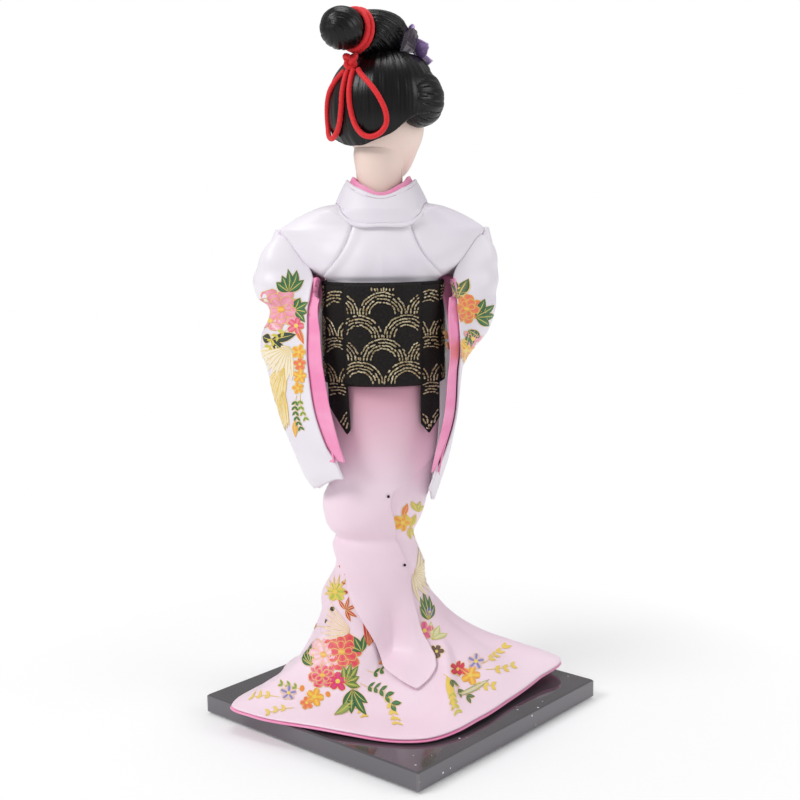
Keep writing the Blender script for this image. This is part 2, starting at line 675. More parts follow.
def laid_rope(angle, length):
    """Radius of a rope of four strands: one plus a lobe that turns once every pitch."""
    turn = 2 * math.pi * length / LAY_PITCH
    return CORD_RADIUS * (1 - LOBE_SHARE + LOBE_SHARE * np.abs(np.cos(STRANDS / 2 * (angle - turn))) ** 0.7)


def hair_share(k):
    """The hair's ring at a height k: an egg's above its middle, and fuller below, where the ring
    is (1 - |k|^n)^(1/n) with a larger n."""
    power = np.where(k < 0, HAIR_FULL, 2.0)
    return np.maximum(1 - np.abs(k) ** power, 0) ** (1 / power)


def on_hair(degrees, rise, stand):
    """A point at an angle from the back of the head and a height over the hair's middle, that
    far off the hair: the hair's ring at that height, turned."""
    share = hair_share(np.maximum(rise, LOOP_REST) / (HAIR_HALF[2] + stand))
    angle = np.radians(degrees)
    return points(
        (HAIR_HALF[0] + stand) * share * np.sin(angle),
        HAIR_AT[1] + (HAIR_HALF[1] + stand) * share * np.cos(angle),
        HAIR_AT[2] + rise,
    )


def rope_piece(name, path, stands_for):
    """A laid rope along a path, with its map in metres of cord."""
    vertices, faces, shares, length = swept(path, laid_rope, 18)
    flat = (2 * math.pi * CORD_RADIUS * mm, length * mm)
    mesh = into_mesh(name, "head", vertices, faces, shares, flat=flat)
    return piece(name, mesh, "head", red_cord, stands_for)


for side_name, side in (("left", 1), ("right", -1)):
    stops = on_hair(*np.array(LOOP_ROUTE).T, CORD_STAND) * np.array([side, 1, 1])
    path = smooth_route(stops, 140)
    loop = rope_piece(f"cord_loop_{side_name}", path, (f"hair_cord_loop_{side_name}",))
    placed = PLACED["head"](path) * mm
    length = float(np.linalg.norm(np.diff(placed, axis=0), axis=1).sum())
    print(side_name, "loop of", round(length, 4), "m of cord")

# %% [markdown]
# The rest of the cord is wound twice round the waist of the top knot and ends in a small
# overhand knot behind it. The winding is a helix; the knot is a short rope that crosses over
# itself, worked out as a trefoil pressed flat.

# %% Winding and knot of the cord
KNOT_HIGH, WAIST_BACK, GAP = 287.3, 12.6, 0.3
MOUND_RADIUS, WAIST_SHARE, WRAP_TURNS, WRAP_PITCH = 10.0, 0.665, 2, 2.6
WRAP_RADIUS = MOUND_RADIUS * WAIST_SHARE + GAP + CORD_RADIUS
KNOT_AT, KNOT_HALF = np.array([0, 16.5, 275.0]), np.array([4.4, 2.5, 3.3])

t = np.linspace(0, 1, 150)
turn = 2 * math.pi * WRAP_TURNS * t - math.pi / 2
wrap_path = points(
    WRAP_RADIUS * np.cos(turn), WAIST_BACK + GAP / 2 + WRAP_PITCH * (t - 0.5) * WRAP_TURNS,
    KNOT_HIGH + WRAP_RADIUS * np.sin(turn),
)
rope_piece("cord_wrap", wrap_path, ("hair_cord_wrap",))


def knot_path(count):
    """A trefoil, sin t + 2 sin 2t across and cos t - 2 cos 2t up, pressed flat to the
    hair."""
    t = np.linspace(0, 2 * math.pi, count)
    across = (np.sin(t) + 2 * np.sin(2 * t)) / 3
    rise = (np.cos(t) - 2 * np.cos(2 * t)) / 3
    depth = -np.sin(3 * t)
    return KNOT_AT + points(
        across * (KNOT_HALF[0] - CORD_RADIUS), depth * (KNOT_HALF[1] - CORD_RADIUS) * 0.8,
        rise * (KNOT_HALF[2] - 0.5),
    )


rope_piece("cord_knot", knot_path(120), ("hair_cord_knot",))

# %% [markdown]
# ## The skirt
# A display doll's kimono is one tube of printed satin. It hugs the hips and the knees, then
# runs out over the base as a train. Above the knees the surface is a stack of ellipses that
# lean to one side; below them each angle has its own smooth fall, a curve with four handles
# from the knee to the hem. The train's folds are waves that fade in and out along it.

# %% Skirt surface
BASE_HEIGHT, CLOTH, LINING, HEM_GAP = 8.4, 0.8, 0.6, 0.3
SKIRT_HIGH, KNEE_HIGH, HEM_REACH = 168.0, 62.0, 72.0
HEM_REST = BASE_HEIGHT + HEM_GAP + LINING + HEM_GAP + CLOTH / 2
SIDE_LEAN, HIP_HALF_WIDTH, HIP_HALF_DEPTH = 5.5, 25.0, 19.5
LEAN = [
    (0.048, 0.1), (0.238, 0.35), (0.369, 0.55), (0.452, 1), (0.536, 0.85), (0.577, 0.45), (0.619, 0.25),
    (0.714, 0.1), (0.863, 0), (1.101, 0),
]
SKIRT_WIDTH = [
    (0.357, 0.78), (0.417, 0.70), (0.452, 0.69), (0.488, 0.80), (0.536, 0.87), (0.613, 0.85), (0.679, 0.89),
    (0.762, 0.92), (0.845, 0.91), (1.012, 0.91),
]
SKIRT_DEPTH = [
    (0.357, 0.80), (0.417, 0.76), (0.452, 0.75), (0.488, 0.84), (0.548, 0.93), (0.655, 1.0), (0.762, 0.98),
    (0.845, 0.90), (1.012, 0.88),
]
HEM_OUT = [
    (0, 0.675), (12, 0.77), (18, 0.86), (24, 0.975), (29, 1.035), (38, 0.985), (58, 0.915), (77, 0.925),
    (95, 0.99), (103, 1.005), (112, 0.97), (126, 0.895), (147, 0.85), (168, 0.93), (181, 1.07),
    (190, 1.02), (204, 0.78), (222, 0.60), (250, 0.46), (279, 0.43), (310, 0.50), (330, 0.65),
    (345, 0.665),
]
HEM_LIFT = [
    (0, 0.1), (24, 0.1), (40, 0), (66, 0.22), (90, 0.05), (103, 0.1), (122, 0.3), (150, 0.3), (170, 0.6),
    (181, 0.85), (196, 0.6), (230, 0.1), (300, 0),
]
INNER_OUT = [(0, 0.2), (24, 0.16), (60, 0.12), (95, 0.0), (125, 0.10), (180, 0.12), (300, 0.1)]
INNER_DROP = [(0, 0.45), (24, 0.5), (60, 0.6), (95, 0.8), (125, 0.7), (160, 0.6), (180, 0.66), (300, 0.6)]
OUTER_OUT = [
    (0, 0.36), (12, 0.6), (24, 0.95), (60, 1.1), (95, 1.5), (125, 1.1), (150, 0.8), (180, 0.9), (230, 0.5),
    (300, 0.4), (340, 0.36),
]
OUTER_HIGH = [
    (0, 0.02), (24, 0.02), (60, 0.04), (95, 0.02), (125, 0.12), (150, 0.26), (180, 0.30), (205, 0.2),
    (240, 0.05), (300, 0.03),
]
FALL_REACH, FALL_DROP, HEM_RISE, KNEE_SHARE = 30.0, 50.0, 5.0, 0.36
PLEAT_MIDDLE, PLEAT_HALF, PLEAT_DEPTH, PLEAT_SHARE = 98.0, 26.0, 8.0, 0.35
POOL_HIGH, POOL_SHARE, POOL_HALF = 5.0, 0.62, 0.25
KNEE_FOLD, KNEE_FOLD_AT, KNEE_FOLD_HALF = 2.1, 75.0, 4.2
KNEE_FLARE, FLARE_AT, FLARE_HALF = 3.2, 0.465, 0.105
TRAIN_FOLD, TRAIN_FOLDS, TRAIN_PHASE = 1.5, 3, 0.6
TRAIN_CREASE, CREASE_FROM, CREASE_TO, CREASE_HALF = 2.6, 141.0, 114.0, 9.0


def lean_at(z):
    return SIDE_LEAN * along(LEAN, z / SKIRT_HIGH)


SOFT_FOLDS = (0.38, 5, 9, 100, 38), (0.22, 3, -3.1, 86, 16)
RIPPLE_HIGH, RIPPLES = 0.5, 11


def skirt_point(u, v, sunk=1.0):
    """Above the knees: ellipse(height) + lean. Below: reach and height are each a cubic with four
    handles, s^3 a + 3 s^2 t b + 3 s t^2 c + t^3 d, less the pleat, plus the folds."""
    u, v = np.broadcast_arrays(np.asarray(u, float), np.asarray(v, float))
    angle, degrees = u * 2 * math.pi, u * 360
    cos, sin = np.cos(angle), np.sin(angle)

    z = mix(SKIRT_HIGH, KNEE_HIGH, np.minimum(v / KNEE_SHARE, 1))
    crease = KNEE_FOLD * hump(z, KNEE_FOLD_AT, KNEE_FOLD_HALF) * (1 + cos) / 2
    soft = sum(
        deep * np.sin(count * angle + z / pitch) * hump(z, middle, half)
        for deep, count, pitch, middle, half in SOFT_FOLDS
    )
    body = points(
        lean_at(z) + (HIP_HALF_WIDTH * along(SKIRT_WIDTH, z / SKIRT_HIGH) - crease + soft) * cos,
        (HIP_HALF_DEPTH * along(SKIRT_DEPTH, z / SKIRT_HIGH) - crease + soft) * sin,
        z,
    )

    t = np.clip((v - KNEE_SHARE) / (1 - KNEE_SHARE), 0, 1)
    s = 1 - t
    knee = KNEE_HIGH / SKIRT_HIGH
    knee_x = lean_at(KNEE_HIGH) + HIP_HALF_WIDTH * along(SKIRT_WIDTH, knee) * cos
    knee_y = HIP_HALF_DEPTH * along(SKIRT_DEPTH, knee) * sin
    knee_out = np.hypot(knee_x, knee_y)
    hem = HEM_REACH * around(HEM_OUT, degrees)
    hem_high = HEM_REST + HEM_RISE * around(HEM_LIFT, degrees)
    handles = (
        (knee_out, KNEE_HIGH),
        (
            knee_out + FALL_REACH * around(INNER_OUT, degrees),
            KNEE_HIGH - FALL_DROP * around(INNER_DROP, degrees)
        ),
        (hem - FALL_REACH * around(OUTER_OUT, degrees), hem_high + FALL_DROP * around(OUTER_HIGH, degrees)),
        (hem, hem_high),
    )
    weights = (s**3, 3 * s * s * t, 3 * s * t * t, t**3)
    reach = sum(w * h[0] for w, h in zip(weights, handles))
    high = sum(w * h[1] for w, h in zip(weights, handles))
    pleat = hump(degrees, PLEAT_MIDDLE, PLEAT_HALF)
    reach = reach - sunk * PLEAT_DEPTH * pleat * hump(t, PLEAT_SHARE, PLEAT_SHARE)
    folded = ease(t, 0.3, 0.7) * (1 - ease(t, 0.8, 1))
    high = high + TRAIN_FOLD * folded * np.sin(TRAIN_FOLDS * angle + TRAIN_PHASE)
    pool = POOL_HIGH * pleat * hump(t, POOL_SHARE, POOL_HALF)
    high = high + RIPPLE_HIGH * folded * np.sin(RIPPLES * angle + 4 * t) + pool
    crease_line = mix(CREASE_FROM, CREASE_TO, ease(t, 0.45, 1))
    creased = ease(t, 0.4, 0.6) * (1 - ease(t, 0.8, 1))
    high = high + TRAIN_CREASE * hump(degrees, crease_line, CREASE_HALF) * creased
    spread = ease(t, 0, 0.25)
    flare = KNEE_FLARE * hump(v, FLARE_AT, FLARE_HALF) * np.maximum(cos, 0) ** 2
    train = points(mix(knee_x, reach * cos, spread) + flare, mix(knee_y, reach * sin, spread), high)
    return np.where((v <= KNEE_SHARE)[..., None], body, train)


def measured_flat(surface):
    """Width and length of the cloth in metres, its longest row and its longest column, and its area."""
    u, v = shares_grid(MEASURE_STEPS, MEASURE_STEPS)
    p = surface(u, v) * mm
    across = np.linalg.norm(np.diff(p, axis=1), axis=-1).sum(axis=1)
    down = np.linalg.norm(np.diff(p, axis=0), axis=-1).sum(axis=0)
    area = across.mean() * down.mean()
    return float(across.max()), float(down.max()), float(area)


def sheet_of(
    name, surface, columns, rows, thickness, finish, slot, nodes, held, rests, closed=False, **ways
):
    """Cuts, sews and hangs one cloth: its mesh, its finish, and its flat size as a sheet."""
    width, length, area = measured_flat(surface)
    built = cloth(surface, columns, rows, thickness, closed, **ways)
    mesh = into_mesh(name, "figure", *built, flat=(width, length))
    made = piece(name, mesh, "figure", finish, nodes)
    SHEETS.append((made, width, length, area, held, rests))
    return made


SHEETS, MEASURE_STEPS = [], 60
sheet_of(
    "skirt_cloth", skirt_point, 260, 150, CLOTH, pink_satin, "pink_satin", ("skirt",), "hung",
    ("hip_form", "base_plate"), closed=True,
)

# %% [markdown]
# The back of the skirt has a plain outer strip, pinned over the printed cloth. It follows the
# skirt at a small stand-off. Under the hem lies a pink lining that shows a little past the
# edge, as the lining of a real kimono does.

# %% Back strip and hem lining
PANEL_AWAY, PANEL_SUNK, SKIRT_ROWS = 1.5, 0.4, 14
PANEL_TOP, PANEL_END, PANEL_CLOSE = 0.086, 0.812, 0.6
PANEL_LEFT = [
    (0.086, -25), (0.2, -22), (0.30, -12), (0.336, 8), (0.358, 32), (0.381, 43), (0.463, 52), (0.53, 64),
    (0.589, 75), (0.706, 88), (0.76, 95), (0.812, 106),
]
PANEL_RIGHT = [
    (0.086, 172), (0.18, 165), (0.2, 152), (0.222, 122), (0.242, 104), (0.301, 119), (0.341, 126),
    (0.442, 130), (0.584, 130), (0.646, 131), (0.74, 128), (0.785, 117), (0.812, 107),
]
LINING_ROWS, LINING_SHOW = 3, 0.8


def panel_point(u, v):
    """The skirt's surface between two edges that are angles at each height, moved outwards."""
    place = mix(PANEL_TOP, PANEL_END, v)
    degrees = mix(along(PANEL_LEFT, place), along(PANEL_RIGHT, place), u)
    away = (PANEL_AWAY - PANEL_CLOSE * (1 - ease(place, 0.2, 0.4)))[..., None]
    return beside(lambda a, b: skirt_point(a, b, PANEL_SUNK), away)(degrees / 360, place)


def hem_lining_point(u, v):
    """The skirt's last rows moved inwards, with the edge drawn out along the hem."""
    place = mix(1 - LINING_ROWS / SKIRT_ROWS, 1, v)
    under = beside(skirt_point, -(CLOTH / 2 + HEM_GAP + LINING / 2))(u, place)
    outwards_here = unit(skirt_point(u, np.ones_like(u)) - skirt_point(u, np.full_like(u, 1 - 1e-3)))
    return under + outwards_here * (LINING_SHOW * ease(v, 1 - 1 / LINING_ROWS, 1))[..., None]


sheet_of(
    "skirt_back_strip", panel_point, 90, 110, 0.6, pink_satin, "pink_satin", ("skirt_panel",), "hung",
    ("skirt_cloth",),
)
sheet_of(
    "hem_lining_cloth", hem_lining_point, 260, 24, LINING, lining_pink, "lining_pink", ("hem_lining",),
    "laid", ("base_plate",), closed=True,
)

# %% [markdown]
# ## The bodice and its collars
# The upper garment is white satin over padded shoulders. Its plan is an ellipse at the waist and
# grows pointed towards the shoulders, which a power that changes with height gives: |x/w|^p +
# |y/d|^p = 1. Two tucks on the back run from the collar's corners down to the sash, and the front
# is open in a V where the collars cross.

# %% Bodice
BODICE_LOW, BODICE_HIGH, BODICE_TOP, SHOULDER_HALF, BODICE_DEPTH = 173.0, 215.5, 217.6, 43.0, 19.5
BODICE_WIDTH = [
    (0, 0.55), (0.306, 0.55), (0.365, 0.65), (0.447, 0.78), (0.588, 0.9), (0.706, 0.96), (0.795, 0.99),
    (0.859, 0.91), (0.929, 0.79), (1, 0.63), (1.05, 0.46),
]
COLLAR_WIDTH = [(0, 0.55), (0.306, 0.55), (0.588, 0.9), (0.795, 1), (0.859, 0.86), (0.929, 0.62), (1, 0.42)]
BODICE_DEEP = [
    (0, 0.92), (0.306, 0.92), (0.365, 0.98), (0.541, 1), (0.706, 0.88), (0.795, 0.78), (0.859, 0.74),
    (0.929, 0.75), (1, 0.78),
]
BODICE_POWER = [(0, 2), (0.329, 2), (0.494, 1.7), (0.635, 1.5), (0.8, 1.42), (0.918, 1.6), (1, 2)]
OPENING_HALF_DEGREES, OPENING_LOW = 32.0, 192.0
TUCK_HIGH, TUCK_LOW, TUCK_DEEP, TUCK_WIDE = (12.2, 209.0), (26.0, 187.0), 1.3, 0.7
TUCK_BOW, RIDGE_OFF, RIDGE_WIDE, RIDGE_SHARE = 2.2, 2.2, 2.0, 0.55
PUCKER_DEEP, PUCKER_AT, PUCKER_HALF, PULL_DEEP, PULL_AT, PULL_HALF = 0.3, 193, 12, 0.35, 201, 9
ARMHOLE_AT, ARMHOLE_HALF = (37.5, -2, 188.5), (8, 6.5, 10.5)


# %% Edges of the collars
COLLAR_THICK, COLLAR_STANDS, COLLAR_TAPER = 1.0, 10.0, 0.5
COLLAR_HIGH = [
    (0, 0.5), (45, 0.85), (90, 1.15), (125, 0.45), (150, -0.62), (170, -1.65), (180, -2.1), (195, -2.7),
]
COLLAR_LOW = [
    (0, -0.68), (30, -0.7), (42, -0.58), (66, 0.02), (90, 0.14), (110, 0.02), (135, -0.55), (155, -1.65),
    (170, -2.5), (180, -2.85), (195, -2.97),
]
COLLAR_FIRST, COLLAR_SWEEP = 285, 390
OUTER_AWAY, OUTER_LAP = 2.0, 1.6
UNDER_AWAY, UNDER_RISE, UNDER_DROP, UNDER_LAP, UNDER_CLOSE = -1.8, 1.5, 7.0, -1.0, 2.1


def both_ways(table):
    """A table read the same to the left and to the right, so that its curve is level at nought."""
    return [(-place, value) for place, value in table[:0:-1]] + table


def collar_low(from_back):
    """The height of the outer collar's lower edge."""
    return BODICE_HIGH + COLLAR_STANDS * along(both_ways(COLLAR_LOW), from_back)


# %% Bodice surface
def bodice_sizes(z, widths=BODICE_WIDTH):
    """Half width, half depth and power at a height."""
    place = (z - BODICE_LOW) / (BODICE_HIGH - BODICE_LOW)
    return (
        SHOULDER_HALF * along(widths, place), BODICE_DEPTH * along(BODICE_DEEP, place),
        along(BODICE_POWER, place),
    )


def bodice_reach(angle, z, widths=BODICE_WIDTH):
    """(|cos/w|^p + |sin/d|^p)^(-1/p)"""
    width, depth, power = bodice_sizes(z, widths)
    return (np.abs(np.cos(angle) / width) ** power + np.abs(np.sin(angle) / depth) ** power) ** (-1 / power)


def tuck_at(x, z):
    """How deep a tuck is at a place on the back: a narrow valley beside a low ridge, on a line
    that bows towards the middle."""
    down = np.clip((TUCK_HIGH[1] - z) / (TUCK_HIGH[1] - TUCK_LOW[1]), 0, 1)
    line = mix(TUCK_HIGH[0], TUCK_LOW[0], down) - TUCK_BOW * np.sin(math.pi * down)
    off = np.abs(x) - line
    inside = ease(z, TUCK_LOW[1] - 4, TUCK_LOW[1]) * (1 - ease(z, TUCK_HIGH[1] - 1, TUCK_HIGH[1] + 1.5))
    ridge = RIDGE_SHARE * np.exp(-(((off + RIDGE_OFF) / RIDGE_WIDE) ** 2))
    return TUCK_DEEP * inside * (np.exp(-((off / TUCK_WIDE) ** 2)) - ridge)


def bodice_point(u, v):
    """Down from the top edge, which dips in a V in front; tucks and soft puckers push in."""
    u, v = np.broadcast_arrays(np.asarray(u, float), np.asarray(v, float))
    turn = u * 2 * math.pi
    off_front = np.abs(np.mod(np.degrees(turn) - 270 + 180, 360) - 180)
    top = mix(OPENING_LOW, BODICE_TOP, np.minimum(off_front / OPENING_HALF_DEGREES, 1))
    z = mix(top, BODICE_LOW, v)
    width, depth, _ = bodice_sizes(z)
    angle = np.arctan2(depth * np.sin(turn), width * np.cos(turn))
    reach = bodice_reach(angle, z)
    x = reach * np.cos(angle)
    back = ease(np.sin(angle), 0.1, 0.5)
    pucker = PUCKER_DEEP * np.sin(np.abs(x) / 2.1 + (z - 190) / 7) * hump(z, PUCKER_AT, PUCKER_HALF) * back
    beside_tuck = hump(z, PULL_AT, PULL_HALF) * hump(np.abs(x), 27, 13)
    pull = PULL_DEEP * np.sin((np.abs(x) - 14) / 3.2 - (z - 200) / 5.5) * beside_tuck * back
    reach = reach - tuck_at(x, z) * back - pucker - pull
    from_back = np.abs(np.mod(np.degrees(angle) - 90 + 180, 360) - 180)
    covered = ease(z - collar_low(from_back), -0.6, 0.9)
    reach = mix(reach, np.minimum(reach, bodice_reach(angle, z, COLLAR_WIDTH)), covered)
    return points(reach * np.cos(angle), reach * np.sin(angle), z)


sheet_of(
    "bodice_cloth", bodice_point, 420, 96, CLOTH, white_satin, "white_satin", ("bodice",), "stretched",
    ("torso_form", "bust"), closed=True,
    holes=[egg_hole(ARMHOLE_AT * np.array([side, 1, 1]), ARMHOLE_HALF) for side in (1, -1)],
)

# %% [markdown]
# A collar is one long band that stands up at the back of the neck and comes down to cross in
# front, her left over her right. Its two edges are heights read off round the neck, and the band
# follows the bodice at a stand-off. The pink under-collar is a thinner band inside it.

# %% Collars
def collar_band(rise, drop, away, lap_away, seam=0.0, upper_away=0.0):
    """A band between two heights at each angle, off the bodice by away and by the lap where its
    end crosses; seam is the depth of a stitched line along both edges, and upper_away moves the
    band out again above the bodice."""
    def surface(u, v):
        u, v = np.broadcast_arrays(np.asarray(u, float), np.asarray(v, float))
        degrees = COLLAR_FIRST - COLLAR_SWEEP * u
        from_back = np.abs(degrees - 90)
        high = BODICE_HIGH + COLLAR_STANDS * along(both_ways(COLLAR_HIGH), from_back) + rise
        low = collar_low(from_back) + drop
        z = mix(high, low, v)
        angle = np.radians(degrees)
        lap = lap_away * ease(u, 0.8, 0.9)
        taper = COLLAR_TAPER * np.maximum(z - BODICE_HIGH - GAP, 0)
        line = seam * (hump(v, 0.09, 0.05) + hump(v, 0.91, 0.05)) - seam * 0.4 * hump(v, 0.5, 0.42)
        close = upper_away * ease(z, BODICE_TOP + 0.6, BODICE_TOP + 3.2)
        reach = bodice_reach(angle, z, COLLAR_WIDTH) - taper + away + lap - line + close
        return points(reach * np.cos(angle), reach * np.sin(angle), z)
    return surface


under_band = collar_band(UNDER_RISE, UNDER_DROP, UNDER_AWAY, UNDER_LAP, 0.0, UNDER_CLOSE)
sheet_of(
    "outer_collar_cloth", collar_band(0, 0, OUTER_AWAY, OUTER_LAP, 0.28), 300, 42, COLLAR_THICK,
    collar_white, "white_satin", ("outer_collar",), "folded", ("bodice_cloth",), roll=0.5,
)
sheet_of(
    "inner_collar_cloth", under_band, 300, 24, LINING, lining_pink, "lining_pink", ("inner_collar",),
    "folded", ("bust",), roll=0.5,
)

# %% Rose edge of the under-collar
PIPING_RADIUS, PIPING_AWAY = 0.34, 0.75
piping_u = np.linspace(0.06, 0.94, 220)
piping_way = normals_of(under_band, piping_u, np.full(220, 0.02))
piping_path = under_band(piping_u, np.zeros(220)) - PIPING_AWAY * piping_way
piping = swept(piping_path, lambda angle, length: PIPING_RADIUS + 0 * angle * length, 10)
piece(
    "under_collar_edge", into_mesh("under_collar_edge", "figure", *piping[:3]), "figure", lining_rose,
)

# %% [markdown]
# ## Sleeves
# The sleeves of a girl's kimono are long flat bags. At each height the bag is a hairpin: it runs
# from the open edge at the body out to the elbow, forward to a fold in front, and back again.
# Four points a height, joined by a smooth curve, give its middle line, and a half thickness
# blown up along it makes the bag. The lining is the same bag, a little smaller.

# %% Sleeve tables
SLEEVE_TOP, SLEEVE_HALF, ARM_REACH, ARM_FORWARD = 207.0, 8.5, 50.0, 38.0
FURI_LIFT, LIFT_SHARE, LIFT_POWER, FOLD_POWER, INSET_SHARE, INNER_SHOWS = 8.0, 0.4, 3, 6, 0.7, 5.5
LEFT_SLEEVE = {
    "side": 1, "bottom": 96.5,
    "edge": (
        [(0, 0.84), (0.045, 0.76), (0.09, 0.69), (0.136, 0.61), (0.18, 0.557), (0.21, 0.557), (0.25, 0.567),
         (0.3, 0.58), (0.37, 0.594), (0.44, 0.605), (0.51, 0.6), (0.69, 0.55), (0.86, 0.45), (1, 0.35)],
        [
            (0, 0), (0.14, 0.01), (0.19, 0.08), (0.3, 0.28), (0.38, 0.37), (0.51, 0.47), (0.69, 0.55),
            (0.86, 0.62), (1, 0.66),
        ],
    ),
    "elbow": (
        [
            (0, 0.82), (0.04, 0.865), (0.08, 0.89), (0.19, 0.90), (0.255, 0.90), (0.285, 0.81),
            (0.33, 0.81), (0.40, 0.90), (0.47, 0.92), (0.51, 0.89), (0.69, 0.81), (0.86, 0.69), (1, 0.59),
        ],
        [(0, 0), (0.08, -0.03), (0.38, -0.03), (0.51, 0), (0.69, 0.05), (0.86, 0.13), (1, 0.21)],
    ),
    "fore": (
        [
            (0, 0.82), (0.04, 0.875), (0.08, 0.91), (0.14, 0.92), (0.19, 0.92), (0.24, 0.84), (0.3, 0.74),
            (0.38, 0.72), (0.69, 0.68), (0.86, 0.62), (1, 0.53),
        ],
        [
            (0, -0.02), (0.08, -0.06), (0.14, -0.12), (0.19, -0.26), (0.24, -0.42), (0.3, -0.52),
            (0.51, -0.54), (1, -0.44),
        ],
    ),
    "fold": (
        [
            (0, 0.9), (0.08, 0.96), (0.14, 0.96), (0.19, 0.89), (0.24, 0.70), (0.3, 0.46), (0.38, 0.38),
            (0.69, 0.36), (1, 0.33),
        ],
        [
            (0, -0.03), (0.08, -0.08), (0.14, -0.17), (0.19, -0.38), (0.24, -0.72), (0.3, -0.93),
            (0.38, -1), (1, -0.9)
        ],
    ),
    "open_to": [(0, 0.35), (1, 0.35)],
    "bag": [
        (0, 0.06), (0.04, 0.36), (0.08, 0.6), (0.14, 0.84), (0.19, 0.97), (0.24, 1), (0.3, 0.94),
        (0.38, 0.8), (0.51, 0.64), (0.69, 0.55), (0.86, 0.46), (0.96, 0.33), (1, 0.12),
    ],
}
RIGHT_SLEEVE = {
    **LEFT_SLEEVE,
    "side": -1, "bottom": 91.0,
    "edge": (
        [(0, 0.84), (0.045, 0.76), (0.09, 0.69), (0.136, 0.61), (0.18, 0.557), (0.21, 0.557), (0.25, 0.567),
         (0.3, 0.58), (0.37, 0.594), (0.44, 0.605), (0.51, 0.6), (0.69, 0.57), (0.86, 0.47), (1, 0.37)],
        [
            (0, 0), (0.14, 0.01), (0.19, 0.08), (0.3, 0.28), (0.38, 0.37), (0.51, 0.45), (0.69, 0.5),
            (0.86, 0.55), (1, 0.58),
        ],
    ),
    "elbow": (
        [
            (0, 0.80), (0.04, 0.83), (0.08, 0.84), (0.19, 0.79), (0.3, 0.79), (0.38, 0.75), (0.46, 0.66),
            (0.51, 0.62), (0.69, 0.57), (0.86, 0.485), (1, 0.40),
        ],
        LEFT_SLEEVE["elbow"][1],
    ),
    "fore": (
        [
            (0, 0.80), (0.04, 0.84), (0.08, 0.86), (0.14, 0.84), (0.19, 0.80), (0.24, 0.75), (0.3, 0.69),
            (0.38, 0.65), (0.51, 0.58), (0.69, 0.53), (0.86, 0.47), (1, 0.40),
        ],
        LEFT_SLEEVE["fore"][1],
    ),
    "fold": (
        [
            (0, 0.9), (0.08, 0.93), (0.14, 0.86), (0.19, 0.77), (0.24, 0.62), (0.3, 0.44), (0.38, 0.38),
            (0.69, 0.36), (1, 0.33),
        ],
        LEFT_SLEEVE["fold"][1],
    ),
    "open_to": [(0, 0.35), (0.38, 0.35), (0.51, 0.85), (1, 0.85)],
    "bag": [
        (0, 0.06), (0.04, 0.36), (0.08, 0.6), (0.14, 0.84), (0.19, 0.97), (0.24, 1), (0.3, 0.94),
        (0.38, 0.8), (0.46, 0.58), (0.51, 0.44), (0.69, 0.36), (0.86, 0.28), (0.96, 0.22), (1, 0.1),
    ],
}
BAG_OPEN = [
    (0, 1), (0.14, 0.95), (0.19, 0.75), (0.3, 0.45), (0.51, 0.42), (0.84, 0.48), (0.92, 0.12), (1, 0.08)
]
LIP = [(0, 0), (0.2, 0.3), (0.3, 1.6), (0.4, 2.4), (0.5, 3.0), (0.7, 3.8), (0.85, 2.6), (0.92, 0.8), (1, 0)]


# %% [markdown]
# The soft folds in a hanging sleeve run down it and fan out from the shoulder. They move the
# bag's middle line sideways, so that both sides and the lining bend together.

# %% Sleeve surface
WIDE_FOLD, FINE_FOLD, HEM_CALM = 0.55, 0.3, 0.7
BEND_DEEP, BEND_CREASES, BEND_AT, BEND_HALF = 0.45, 62, 0.2, 0.13


def through(stops, t):
    """A uniform Catmull-Rom curve through four plane points, carried on straight past its ends."""
    spans = stops.shape[-2] - 1
    i = np.clip(np.floor(np.maximum(t, 0) * spans).astype(int), 0, spans - 1)
    f = (t * spans - i)[..., None]
    ends = [2 * stops[..., 0, :] - stops[..., 1, :], 2 * stops[..., -1, :] - stops[..., -2, :]]
    line = np.concatenate([ends[0][..., None, :], stops, ends[1][..., None, :]], axis=-2)
    a, b, c, d = (np.take_along_axis(line, (i + k)[..., None, None], axis=-2)[..., 0, :] for k in range(4))
    return 0.5 * (2 * b + (c - a) * f + (2 * a - 5 * b + 4 * c - d) * f**2 + (3 * b - a - 3 * c + d) * f**3)


